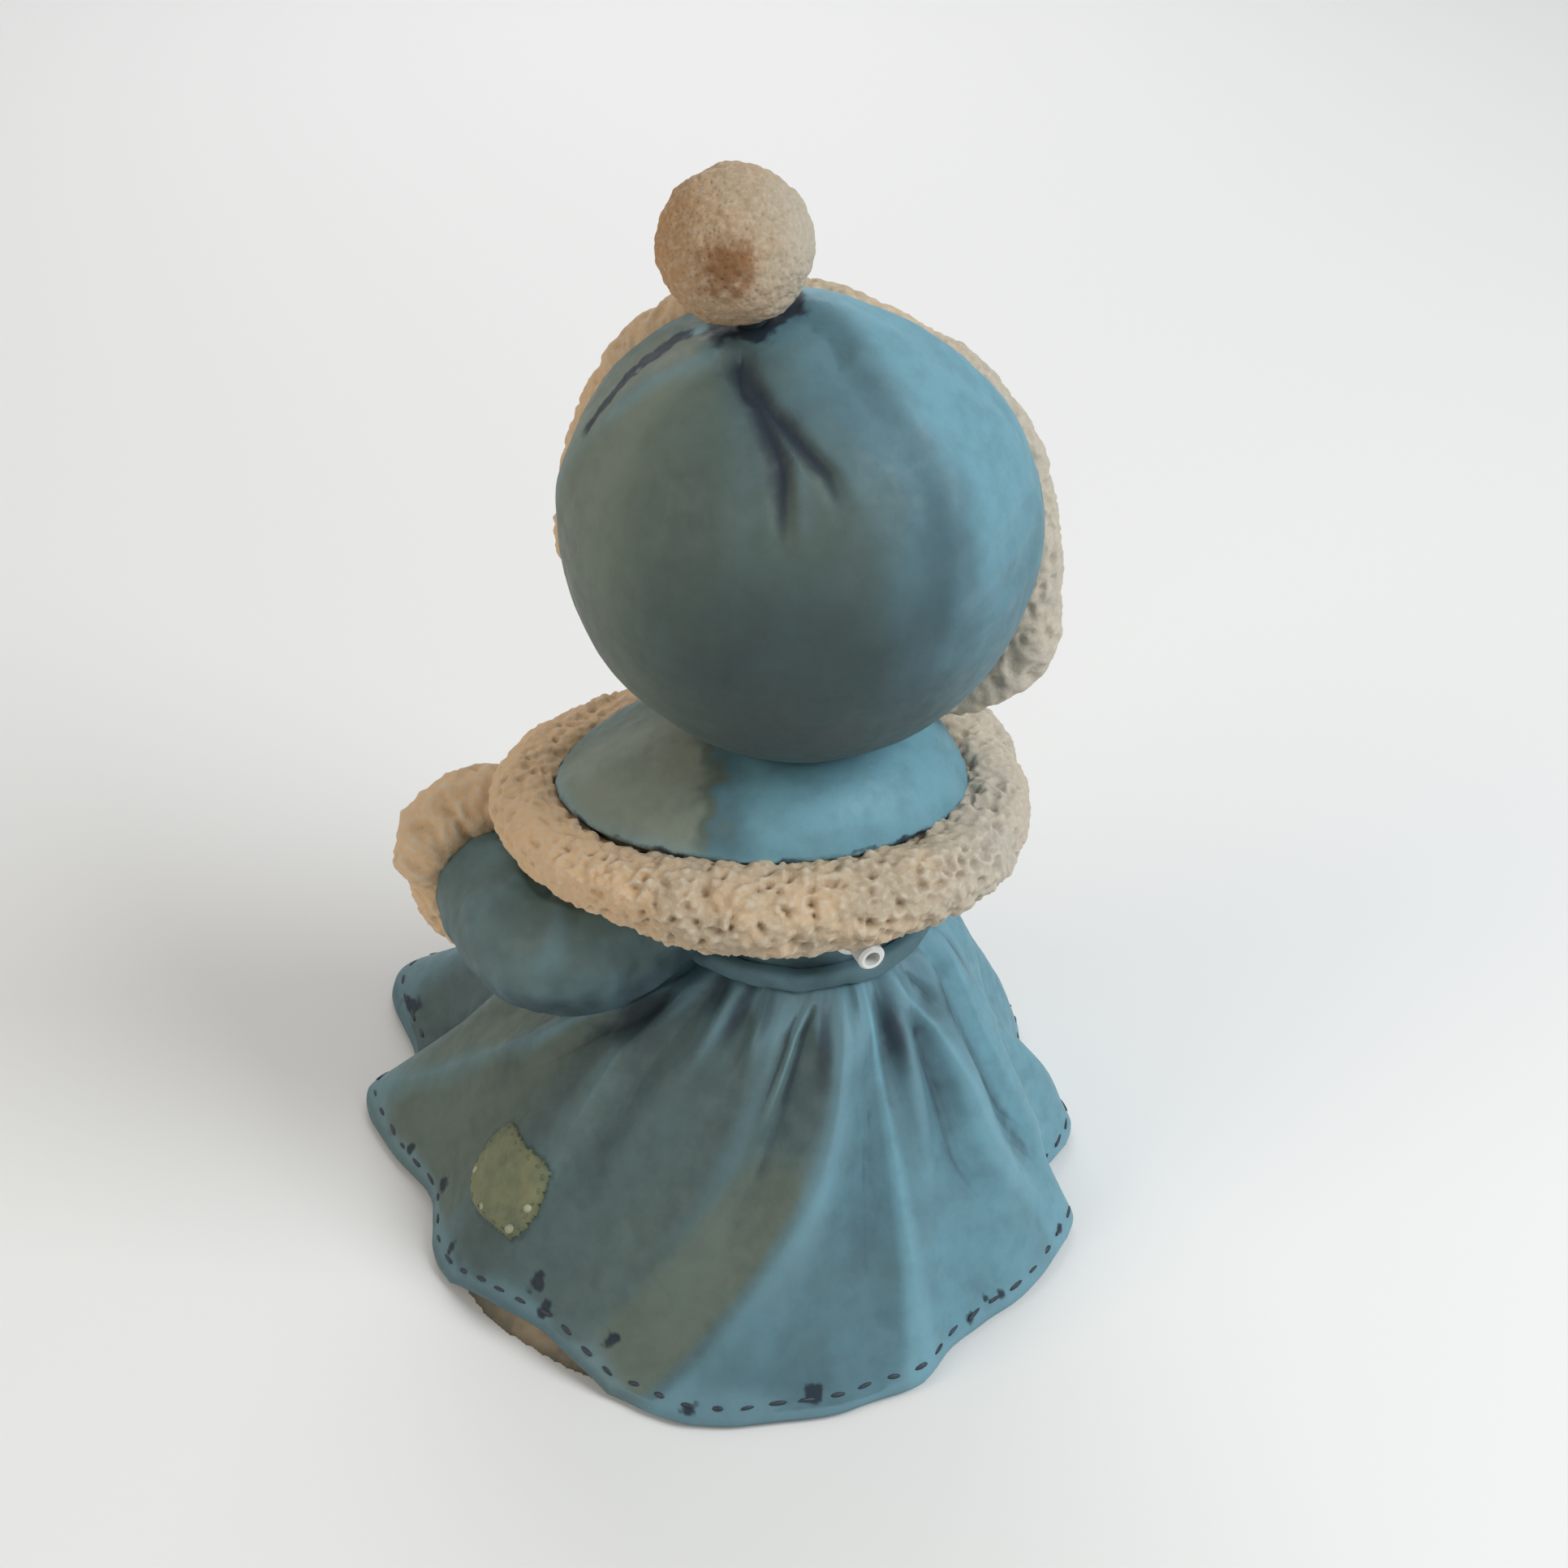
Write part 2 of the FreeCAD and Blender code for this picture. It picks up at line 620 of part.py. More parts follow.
# ---- assembly --------------------------------------------------------------------------------------
def build():
    parts = {}
    skirt_outer = skirt_form(0.0)
    parts["skirt"] = make_skirt(skirt_outer)
    parts["plinth"] = make_plinth()
    parts["skirt_patch"] = make_patch(skirt_outer)

    bodice_outer = make_bodice_outer()
    inlet = make_inlet(bodice_outer)
    inlet_hole = Part.makeCylinder(stem_radius + stem_fit, 60, body(0, 0, inlet_z), inlet_direction())
    neck_room = Part.makeCylinder(neck_radius + glue_gap, hood_z - shoulder_z,
                                  body(0, 0, shoulder_z + collar_rise - collar_crown - 1))
    bodice = bodice_outer.cut(make_bodice_inner()).cut(inlet_hole).cut(neck_room)
    parts["waistband"] = make_waistband(bodice_outer)
    parts["air_inlet_stub"] = inlet
    tube_radius = stem_radius + air_tube_wall
    tube_outer = sweep_tube(tube_radius)
    tube_inner = sweep_tube(stem_radius)
    parts["air_tube"] = tube_outer.cut(tube_inner)

    hood_outer = hood_form(0.0)
    hood_inner = hood_form(-hood_wall)
    hood_trim = make_hood_trim()
    pompom_room = Part.makeSphere(pompom_radius + pompom_gap, pompom_centre())
    stem_hole = Part.makeCylinder(stem_radius, 60, hood_centre(), pompom_direction())
    neck_hole = Part.makeCylinder(collar_radius + glue_gap, 40, body(0, 0, hood_z - 45))
    hood = hood_outer.cut(pompom_room).cut(hood_inner).cut([neck_hole, stem_hole])
    parts["hood"] = largest(hood.cut(opening_side()))
    parts["hood_fur_trim"] = hood_trim
    parts["outlet_stem"] = make_stem().cut(parts["hood"])
    parts["pompom_air_stone"] = make_pompom()

    head_room = sweep_tube(tube_radius + glue_gap)
    parts["head"] = make_head(head_room).cut(hood_trim)
    parts["hair"] = largest(make_hair().cut(hood_trim))

    parts["bodice"] = largest(bodice.cut(hood_trim))

    cape_trim = largest(make_cape_trim().cut(bodice_outer))
    cape = cape_form(0.0, 0.0).cut(cape_form(cape_wall, cape_thickness))
    parts["cape"] = largest(cape.cut(bodice_outer).cut(cape_trim).cut(hood_trim))
    parts["cape_fur_trim"] = cape_trim

    stub_room = Part.makeCylinder(inlet_room, bodice_radius + 2 * inlet_length,
                                  body(0, 0, inlet_z), inlet_direction())
    for side, points, radii, thumb in (("left", left_arm, left_sleeve_radii, 1),
                                       ("right", right_arm, right_sleeve_radii, -1)):
        cuff = cuff_roll(points)
        sleeve = sleeve_form(points, radii)
        hand = largest(make_mitten(points, thumb).cut(cuff))
        sleeve = sleeve.cut(bodice_outer).cut(parts["waistband"]).cut(cuff).cut(hand)
        sleeve = sleeve.cut(stub_room).cut(cape_trim)
        parts[side + "_sleeve"] = largest(sleeve)
        parts[side + "_cuff"] = cuff
        parts[side + "_mitten"] = hand

    parts["left_boot"] = make_boot(1)
    parts["right_boot"] = make_boot(-1)
    return parts


def main():
    os.makedirs("parts", exist_ok=True)
    for name, shape in build().items():
        print("%-18s solids %d valid %s volume %.0f" % (name, len(shape.Solids), shape.isValid(),
                                                        shape.Volume))
        shape.exportStep(os.path.join("parts", name + ".step"))


main()
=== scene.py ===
import json
import math
import random

import bmesh
import bpy
import numpy as np
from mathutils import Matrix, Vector
from mathutils.bvhtree import BVHTree


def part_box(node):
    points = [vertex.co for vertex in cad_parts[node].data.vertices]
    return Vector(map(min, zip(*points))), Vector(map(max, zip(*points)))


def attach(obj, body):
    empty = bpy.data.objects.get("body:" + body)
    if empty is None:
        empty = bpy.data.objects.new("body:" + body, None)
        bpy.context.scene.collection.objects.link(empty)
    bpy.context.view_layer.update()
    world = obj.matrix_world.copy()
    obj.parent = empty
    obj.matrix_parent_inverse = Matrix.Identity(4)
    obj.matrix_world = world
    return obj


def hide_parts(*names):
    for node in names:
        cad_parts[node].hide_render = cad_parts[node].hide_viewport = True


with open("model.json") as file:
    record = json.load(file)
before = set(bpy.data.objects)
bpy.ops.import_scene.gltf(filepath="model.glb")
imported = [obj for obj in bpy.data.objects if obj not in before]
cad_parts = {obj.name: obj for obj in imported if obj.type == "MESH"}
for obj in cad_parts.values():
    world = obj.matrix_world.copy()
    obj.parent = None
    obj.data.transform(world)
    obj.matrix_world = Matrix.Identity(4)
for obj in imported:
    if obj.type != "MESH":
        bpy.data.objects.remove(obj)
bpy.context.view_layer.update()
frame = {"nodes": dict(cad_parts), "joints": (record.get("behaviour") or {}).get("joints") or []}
scene = bpy.context.scene
mm = 0.001

# the figure's measures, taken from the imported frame
skirtLow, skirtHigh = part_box("skirt")
bandLow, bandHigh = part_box("waistband")
waist = (bandLow + bandHigh) / 2
pomLow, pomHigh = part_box("pompom_air_stone")
pomCentre = (pomLow + pomHigh) / 2
stemAxis = Vector(frame["joints"][0]["axis"]).normalized()
# the middle of the hood and of the head
hoodCentre = Vector((-12, 0, 111)) * mm


def vertexArray(mesh):
    flat = np.empty(len(mesh.vertices) * 3)
    mesh.vertices.foreach_get("co", flat)
    return flat.reshape(-1, 3)


def normalArray(mesh):
    flat = np.empty(len(mesh.vertices) * 3)
    mesh.vertex_normals.foreach_get("vector", flat)
    return flat.reshape(-1, 3)


def moveVertices(mesh, points):
    mesh.vertices.foreach_set("co", points.ravel())
    mesh.update()


def storeValues(mesh, name, values):
    # a number on every vertex, which the paints read
    spot = mesh.attributes.new(name, "FLOAT", "POINT")
    spot.data.foreach_set("value", np.asarray(values, dtype=np.float32))


def makeObject(name, mesh, material):
    piece = bpy.data.objects.new(name, mesh)
    scene.collection.objects.link(piece)
    mesh.materials.clear()
    mesh.materials.append(material)
    mesh.shade_smooth()
    return piece


def meshFrom(name, points, faces, edges=()):
    mesh = bpy.data.meshes.new(name)
    mesh.from_pydata([tuple(point) for point in points], edges, faces)
    mesh.update()
    return mesh


def facesOutwards(mesh):
    work = bmesh.new()
    work.from_mesh(mesh)
    bmesh.ops.recalc_face_normals(work, faces=work.faces)
    work.to_mesh(mesh)
    work.free()


def bakedMesh(piece):
    # what the modifiers make of a piece, as a plain mesh
    depsgraph = bpy.context.evaluated_depsgraph_get()
    return bpy.data.meshes.new_from_object(piece.evaluated_get(depsgraph))


def denseCopy(node, name, voxel):
    # an even, fine skin over a CAD node, ready for sculpting
    rough = frame["nodes"][node].data.copy()
    work = bmesh.new()
    work.from_mesh(rough)
    bmesh.ops.remove_doubles(work, verts=work.verts, dist=1e-6)
    work.to_mesh(rough)
    work.free()
    piece = bpy.data.objects.new(name + "Rough", rough)
    scene.collection.objects.link(piece)
    remesh = piece.modifiers.new("skin", "REMESH")
    remesh.mode = "VOXEL"
    remesh.voxel_size = voxel * mm
    mesh = bakedMesh(piece)
    mesh.name = name
    bpy.data.objects.remove(piece)
    print(name, len(mesh.polygons), "faces")
    return mesh


def treeOf(mesh):
    points = [vertex.co.copy() for vertex in mesh.vertices]
    return BVHTree.FromPolygons(points, [tuple(face.vertices) for face in mesh.polygons])


def cadTree(node):
    return treeOf(frame["nodes"][node].data)


def gapTo(tree, points, limit):
    # distance in millimetres from each point to another piece, up to the limit
    gaps = np.full(len(points), float(limit))
    for index, point in enumerate(points):
        found = tree.find_nearest(Vector(point), limit * mm)
        if found[3] is not None:
            gaps[index] = found[3] / mm
    return gaps


def edgeArray(mesh):
    flat = np.empty(len(mesh.edges) * 2, dtype=np.int64)
    mesh.edges.foreach_get("vertices", flat)
    return flat.reshape(-1, 2)


def relaxed(values, edges, passes):
    # values on the vertices, averaged with their neighbours again and again
    count = len(values)
    near, far = edges[:, 0], edges[:, 1]
    neighbours = np.bincount(near, minlength=count) + np.bincount(far, minlength=count)
    neighbours = np.maximum(neighbours, 1)
    smooth = np.array(values, dtype=float)
    for _ in range(passes):
        for axis in range(smooth.shape[1]):
            column = smooth[:, axis]
            total = np.bincount(near, column[far], count) + np.bincount(far, column[near], count)
            smooth[:, axis] = (column + total / neighbours) / 2
    return smooth


def hollowness(mesh, passes):
    # above 0 in creases and pits, below 0 on ridges, in millimetres
    points = vertexArray(mesh)
    inwards = relaxed(points, edgeArray(mesh), passes) - points
    return (inwards * normalArray(mesh)).sum(axis=1) / mm


def storeRelief(mesh, fine, broad):
    # how deep each vertex lies, for the dark wash and the worn ridges
    storeValues(mesh, "dip", hollowness(mesh, fine))
    storeValues(mesh, "valley", hollowness(mesh, broad))


def latticeValue(cell, seed):
    # a repeatable number from 0 to 1 for each whole-number cell
    mixed = (cell[..., 0] * 73856093) ^ (cell[..., 1] * 19349663) ^ (cell[..., 2] * 83492791)
    mixed = (mixed ^ (seed * 2654435761)) & 0xFFFFFFFF
    mixed = ((mixed ^ (mixed >> 15)) * 2246822519) & 0xFFFFFFFF
    mixed = ((mixed ^ (mixed >> 13)) * 3266489917) & 0xFFFFFFFF
    return ((mixed ^ (mixed >> 16)) & 0xFFFFFF) / 0xFFFFFF


def softNoise(points, size, seed):
    # smooth lumps about size millimetres across, from -1 to 1
    scaled = points / (size * mm)
    cell = np.floor(scaled).astype(np.int64)
    part = scaled - cell
    part = part * part * part * (part * (part * 6 - 15) + 10)
    total = np.zeros(len(points))
    for corner in range(8):
        step = np.array([corner & 1, corner >> 1 & 1, corner >> 2 & 1])
        share = np.where(step == 1, part, 1 - part).prod(axis=1)
        total += share * latticeValue(cell + step, seed)
    return total * 2 - 1


def layeredNoise(points, size, layers, seed):
    total = np.zeros(len(points))
    for layer in range(layers):
        total += softNoise(points, size / 2 ** layer, seed + layer) / 2 ** layer
    return total


def grainNoise(points, size, seed):
    # distance to the nearest grain's middle, from 0 to about 1
    scaled = points / (size * mm)
    cell = np.floor(scaled).astype(np.int64)
    nearest = np.full(len(points), 9.0)
    for index in range(27):
        step = np.array([index % 3 - 1, index // 3 % 3 - 1, index // 9 - 1])
        home = cell + step
        middle = np.stack([latticeValue(home, seed + axis) for axis in range(3)], axis=1)
        away = home + middle - scaled
        nearest = np.minimum(nearest, (away ** 2).sum(axis=1))
    return np.sqrt(nearest)


def leftOf(points):
    # millimetres to the figure's left of the waist's middle
    return (points[:, 0] - waist.x) / mm


def distanceTo(points, spot):
    return np.linalg.norm(points - np.array(spot), axis=1) / mm


def smoothStep(low, high, value):
    share = np.clip((value - low) / (high - low), 0, 1)
    return share * share * (3 - 2 * share)


def band(value, start, full, late, end):
    # 1 from full to late, easing down to 0 at start and at end
    return smoothStep(start, full, value) * smoothStep(end, late, value)


def wrapDegrees(angle):
    return (angle + 180.0) % 360.0 - 180.0


def crest(distance, halfWidth, sharpness):
    # a draped ridge: sharp on top, hollow on both sides
    return np.clip(1 - np.abs(distance) / halfWidth, 0, 1) ** sharpness


def softFold(distance, halfWidth):
    # a rounded fold, highest at the middle
    return smoothStep(halfWidth, 0, np.abs(distance))


def newMaterial(name, sheen=0.5):
    # sheen is the shader's specular level: low for chalky paint
    material = bpy.data.materials.new(name)
    material.use_nodes = True
    tree = material.node_tree
    shader = tree.nodes["Principled BSDF"]
    shader.inputs["Specular IOR Level"].default_value = sheen
    return material, tree, shader


def addNode(tree, kind, **settings):
    node = tree.nodes.new(kind)
    for key, value in settings.items():
        setattr(node, key, value)
    return node


def noiseNode(tree, size, detail=4.0, roughness=0.55):
    # size in millimetres, on the object's own coordinates
    place = addNode(tree, "ShaderNodeTexCoord")
    texture = addNode(tree, "ShaderNodeTexNoise")
    texture.inputs["Scale"].default_value = 1 / (size * mm)
    texture.inputs["Detail"].default_value = detail
    texture.inputs["Roughness"].default_value = roughness
    tree.links.new(place.outputs["Object"], texture.inputs["Vector"])
    return texture.outputs["Fac"]


def spread(tree, source, low, high, start=0.0, end=1.0):
    # eases a value from start to end while source goes from low to high
    node = addNode(tree, "ShaderNodeMapRange", interpolation_type="SMOOTHSTEP")
    tree.links.new(source, node.inputs["Value"])
    limits = {"From Min": low, "From Max": high, "To Min": start, "To Max": end}
    for socket, value in limits.items():
        node.inputs[socket].default_value = value
    return node.outputs["Result"]


def attributeValue(tree, name):
    return addNode(tree, "ShaderNodeAttribute", attribute_name=name).outputs["Fac"]


def combine(tree, operation, first, second):
    node = addNode(tree, "ShaderNodeMath", operation=operation)
    for slot, value in zip(node.inputs, (first, second)):
        if isinstance(value, (int, float)):
            slot.default_value = value
        else:
            tree.links.new(value, slot)
    return node.outputs["Value"]


def ragged(tree, source, size, amount):
    # a value whose edges wander, as brushed paint does
    wander = combine(tree, "SUBTRACT", noiseNode(tree, size, 5, 0.62), 0.5)
    return combine(tree, "ADD", source, combine(tree, "MULTIPLY", wander, amount))


def tint(tree, factor, under, over):
    # lays a colour over another where factor says so
    node = addNode(tree, "ShaderNodeMix", data_type="RGBA")
    tree.links.new(factor, node.inputs["Factor"])
    for slot, value in ((node.inputs[6], under), (node.inputs[7], over)):
        if isinstance(value, tuple):
            slot.default_value = (*value, 1.0)
        else:
            tree.links.new(value, slot)
    return node.outputs[2]


def bumpFrom(tree, shader, height, distance, strength=1.0):
    node = addNode(tree, "ShaderNodeBump")
    node.inputs["Strength"].default_value = strength
    node.inputs["Distance"].default_value = distance * mm
    tree.links.new(height, node.inputs["Height"])
    tree.links.new(node.outputs["Normal"], shader.inputs["Normal"])


def layPaints(tree, colour, layers, paints):
    # each layer: the noise or attribute that places it, how its edge wanders, where it starts and
    # is full, its strength and its paint
    for source, wander, start, full, strength, paint in layers:
        stored = isinstance(source, str)
        value = attributeValue(tree, source) if stored else noiseNode(tree, *source)
        if wander:
            value = ragged(tree, value, *wander)
        colour = tint(tree, spread(tree, value, start, full, 0.0, strength), colour, paints[paint])
    return colour


def mottleShine(tree, shader, size, detail, low, high):
    # roughness that wanders between two values
    mottled = spread(tree, noiseNode(tree, size, detail), 0.3, 0.7, low, high)
    tree.links.new(mottled, shader.inputs["Roughness"])


clothPaint = {
    "blue": (0.072, 0.142, 0.172),
    "pale": (0.145, 0.315, 0.385),
    "grey": (0.082, 0.122, 0.115),
    "slate": (0.030, 0.050, 0.054),
    "earthAndPaintedLight": (0.108, 0.138, 0.108),
    "paintedLightOlive": (0.230, 0.265, 0.215),
    "navy": (0.009, 0.016, 0.027),
    "worn": (0.18, 0.33, 0.40),
    "roughness": (0.50, 0.68),
}
# dusty blue brushed over a dark wash, with the wash left in the folds
clothLayers = [
    ((24, 3), None, 0.36, 0.66, 0.30, "pale"),
    ((31, 4), None, 0.47, 0.66, 0.45, "grey"),
    # an olive tint, partly painted warm shade on the side away from the light, and a paler olive
    # where painted light falls on it
    ("earthAndPaintedLight", (9, 0.3), 0.05, 0.95, 0.92, "earthAndPaintedLight"),
    ("earthAndPaintedLight", (9, 0.3), 1.0, 2.0, 0.95, "paintedLightOlive"),
    # painted light and painted shade: lit parts lighten to pale, shaded parts darken to slate
    ("tone", (12, 0.35), 0.0, 0.9, 0.95, "pale"),
    ("tone", (12, 0.35), 0.0, -1.0, 0.95, "slate"),
    ((4.5, 6, 0.62), None, 0.38, 0.72, 0.22, "slate"),
    ("valley", (3, 0.30), 0.15, 1.1, 0.55, "navy"),
    ("dip", None, 0.02, 0.13, 0.60, "navy"),
    ("valley", (3, 0.35), -0.15, -1.0, 0.42, "worn"),
    # painted shade in the pockets, creases and under the hood, then dark spots and seams, with
    # painted shadow under the pompom and round the patch
    ("shade", (3.5, 0.35), 0.0, 1.1, 0.90, "navy"),
    ("stainAndShadow", (1.3, 0.7), 0.15, 0.85, 0.93, "navy"),
]


def makeClothPaint():
    material, tree, shader = newMaterial("clothPaint", 0.28)
    colour = layPaints(tree, clothPaint["blue"], clothLayers, clothPaint)
    tree.links.new(colour, shader.inputs["Base Color"])
    mottleShine(tree, shader, 2.2, 4, *clothPaint["roughness"])
    bumpFrom(tree, shader, noiseNode(tree, 0.9, 6, 0.6), 0.10, 0.5)
    return material


furPaint = {
    "cream": (0.43, 0.345, 0.245),
    "sand": (0.68, 0.46, 0.265),
    "light": (0.60, 0.53, 0.42),
    "grey": (0.44, 0.42, 0.365),
    "brown": (0.17, 0.085, 0.035),
    "roughness": 0.80,
    "pitDepth": 1.0,
    "grain": 0.9,
}
stonePaint = {
    "cream": (0.39, 0.295, 0.195),
    "sand": (0.41, 0.228, 0.100),
    "light": (0.55, 0.48, 0.39),
    "grey": (0.42, 0.385, 0.315),
    "brown": (0.19, 0.075, 0.022),
    "roughness": 0.80,
    "pitDepth": 0.6,
    "grain": 0.7,
}


def makeFurPaint(name, paints):
    # cream over sand, with painted light: greyer on the lit side and sandier on the shaded side,
    # with brown left in the pits
    material, tree, shader = newMaterial(name, 0.20)
    depth = paints["pitDepth"]
    layers = [
        ((9, 4), None, 0.40, 0.66, 0.5, "sand"),
        ("tone", (8, 0.4), 0.0, 1.0, 0.75, "grey"),
        ("tone", (8, 0.4), 0.0, -1.0, 0.80, "sand"),
        ((paints["grain"], 4), None, 0.45, 0.65, 0.35, "light"),
        ("dip", None, 0.04 * depth, 0.60 * depth, 0.62, "brown"),
        ("dip", None, -0.03 * depth, -0.26 * depth, 0.65, "light"),
        ("stainAndShadow", (1.0, 0.6), 0.10, 0.95, 0.85, "brown"),
    ]
    tree.links.new(layPaints(tree, paints["cream"], layers, paints), shader.inputs["Base Color"])
    shader.inputs["Roughness"].default_value = paints["roughness"]
    bumpFrom(tree, shader, noiseNode(tree, 0.45, 5, 0.65), 0.15, 0.75)
    return material


def makePlainPaint(name, base, shade, roughness, grainSize=1.2, depth=0.06, wash=0.7):
    # a single paint with a mottled second tone and wash in the dips
    material, tree, shader = newMaterial(name)
    paints = {"shade": shade,
              "dark": tuple(value * 0.45 for value in shade),
              "wash": tuple(value * 0.15 for value in shade)}
    layers = [
        ((6, 4), None, 0.35, 0.65, 1.0, "shade"),
        ("tone", (2.0, 0.4), 0.0, 1.0, 0.85, "dark"),
        ("dip", None, 0.01, 0.10, wash, "wash"),
    ]
    tree.links.new(layPaints(tree, base, layers, paints), shader.inputs["Base Color"])
    mottleShine(tree, shader, 2, 3, roughness - 0.08, roughness + 0.08)
    bumpFrom(tree, shader, noiseNode(tree, grainSize, 5), depth, 0.5)
    return material


def makeSkinPaint(base, blush, lip):
    # flesh colour with rosy cheeks and lips
    material, tree, shader = newMaterial("skinPaint")
    layers = [
        ((7, 4), None, 0.3, 0.7, 0.35, "blush"),
        ("tone", (3, 0.25), 0.05, 1.0, 0.65, "blush"),
        ("lips", None, 0.05, 1.0, 0.75, "lip"),
    ]
    colour = layPaints(tree, base, layers, {"blush": blush, "lip": lip})
    tree.links.new(colour, shader.inputs["Base Color"])
    mottleShine(tree, shader, 2, 3, 0.42, 0.56)
    bumpFrom(tree, shader, noiseNode(tree, 1.6, 5), 0.04, 0.5)
    return material


cloth = makeClothPaint()
fur = makeFurPaint("furPaint", furPaint)
stone = makeFurPaint("stonePaint", stonePaint)
stitchPaint = makePlainPaint("stitchPaint", (0.010, 0.018, 0.028), (0.02, 0.03, 0.045), 0.55)
patchPaint = makePlainPaint("patchPaint", (0.180, 0.190, 0.098), (0.115, 0.138, 0.082), 0.7,
                            grainSize=0.7, depth=0.14, wash=0.45)
patchDotPaint = makePlainPaint("patchDotPaint", (0.36, 0.38, 0.26), (0.26, 0.28, 0.18), 0.55)
patchStitchPaint = makePlainPaint("patchStitchPaint", (0.130, 0.145, 0.070), (0.085, 0.10, 0.055),
                                  0.65)
basePaint = makePlainPaint("basePaint", (0.27, 0.21, 0.13), (0.12, 0.105, 0.07), 0.65)
skinPaint = makeSkinPaint((0.66, 0.43, 0.32), (0.62, 0.27, 0.20), (0.52, 0.17, 0.13))
hairPaint = makePlainPaint("hairPaint", (0.17, 0.080, 0.032), (0.10, 0.045, 0.018), 0.72)
mittenPaint = makePlainPaint("mittenPaint", (0.44, 0.35, 0.25), (0.32, 0.24, 0.165), 0.7, 0.8, 0.12)
bootPaint = makePlainPaint("bootPaint", (0.11, 0.055, 0.030), (0.06, 0.032, 0.018), 0.45)
eyeWhitePaint = makePlainPaint("eyeWhitePaint", (0.74, 0.72, 0.68), (0.66, 0.63, 0.58), 0.3,
                               2.0, 0.01)
irisPaint = makePlainPaint("irisPaint", (0.12, 0.060, 0.030), (0.070, 0.035, 0.018), 0.25,
                           2.0, 0.01)
pupilPaint = makePlainPaint("pupilPaint", (0.008, 0.007, 0.006), (0.012, 0.010, 0.010), 0.2,
                            2.0, 0.01)
stemPaint = makePlainPaint("stemPaint", (0.030, 0.045, 0.055), (0.022, 0.034, 0.044), 0.5,
                           1.5, 0.02)
fittingPlastic = makePlainPaint("fittingPlastic", (0.80, 0.80, 0.78), (0.74, 0.74, 0.71), 0.35,
                                1.5, 0.01)
softTube = makePlainPaint("softTube", (0.62, 0.66, 0.66), (0.55, 0.60, 0.60), 0.3, 1.5, 0.01)
print("paints made")

# the skirt is a fine shell cast over the CAD skirt, with the finer folds laid on it
skirtPiece = {
    "columns": 760,          # round the skirt
    "rows": 118,             # from the waist to the hem
    "innerRows": 7,
    "reach": 90,             # rays towards the axis start here, in millimetres,
    "core": 12,              # and what they meet nearer to it than this is not the skirt
    "wall": 2.3,             # of the visible shell
    "topWall": 1.2,
    "hemRound": 1.1,
    "creases": 30,
    "creaseSeed": 11,
    "outward": 0.85,         # how a fold's height is shared between out and up
    "upward": 0.31,
}
# (drop, angle) along each crest, half widths before and after it in degrees, height, sharpness,
# last drop
mainCrest = [(0.0, 109), (0.05, 107), (0.24, 104.6), (0.40, 101.1), (0.58, 94.5), (0.825, 85.8),
             (1.0, 79)]
skirtRidges = [
    (mainCrest, 13, 20, 2.2, 1.25, 9),
    ([(0.0, 118), (0.2, 119), (0.33, 120.2), (0.71, 121.3), (1.0, 121.4)], 6, 5, 1.2, 1.3, 9),
    ([(0.0, 130), (0.03, 131.5), (0.18, 141.2), (0.34, 144.7), (0.53, 146.3), (0.83, 156),
      (1.0, 159)], 7, 8, 1.5, 1.3, 9),
    ([(0.0, 164), (0.3, 161), (0.6, 162), (1.0, 180)], 6, 7, 1.0, 1.4, 9),
    ([(0.0, 97), (0.1, 91.5), (0.22, 89), (0.4, 86)], 2.6, 3.2, 1.1, 1.2, 0.34),
    ([(0.0, 46), (0.18, 29.3), (0.264, 20.4), (0.46, 9), (0.604, 2.1), (0.91, -9), (1.0, -12)],
     10, 8, 1.6, 1.4, 9),
    ([(0.0, 54), (0.054, 46), (0.237, 40.5), (0.39, 41.7), (0.6, 43), (1.0, 38)],
     9, 9, 1.0, 1.4, 0.85),
    ([(0.0, 80), (0.3, 72), (0.6, 66), (1.0, 60)], 9, 9, 0.5, 1.6, 9),
    ([(0.0, 200), (0.4, 206), (1.0, 213)], 8, 9, 1.1, 1.4, 9),
    ([(0.0, 228), (0.5, 236), (1.0, 243)], 8, 7, 1.1, 1.4, 9),
    ([(0.0, 262), (0.5, 268), (1.0, 272)], 7, 8, 0.9, 1.5, 9),
    ([(0.0, 296), (0.5, 300), (1.0, 304)], 8, 7, 1.0, 1.4, 9),
    ([(0.0, 326), (0.5, 326), (1.0, 326)], 8, 9, 1.2, 1.3, 9),
]
# small gathers that the waist seam pulls in: angle, where it fades out, height
waistGathers = [(78, 0.20, 0.7), (98.5, 0.16, 0.5), (113, 0.30, 0.7), (124, 0.18, 0.4),
                (140, 0.2, 0.5), (64, 0.20, 0.6), (150, 0.22, 0.6), (36, 0.18, 0.5),
                (20, 0.2, 0.5), (176, 0.24, 0.6), (187, 0.28, 0.7), (214, 0.26, 0.7),
                (238, 0.30, 0.8), (259, 0.26, 0.7), (281, 0.28, 0.8), (305, 0.26, 0.7),
                (333, 0.28, 0.8), (354, 0.24, 0.6)]
# the side falls in below the hip, and a lobe of the hem flares: angle, drop, reaches, height
skirtSwells = [(191.0, 0.50, 26.0, 0.34, -3.6), (322.0, 1.0, 24.0, 0.55, 4.0)]
# painted highlights along the folds' crests: which ridge, half width, strength
skirtLights = [(0, 5, 0.35), (1, 3.0, 0.55), (2, 4.0, 0.60), (3, 4.0, 0.35), (4, 2.6, 0.75),
               (5, 8, 0.38), (6, 8, 0.42), (7, 8, 0.12)]
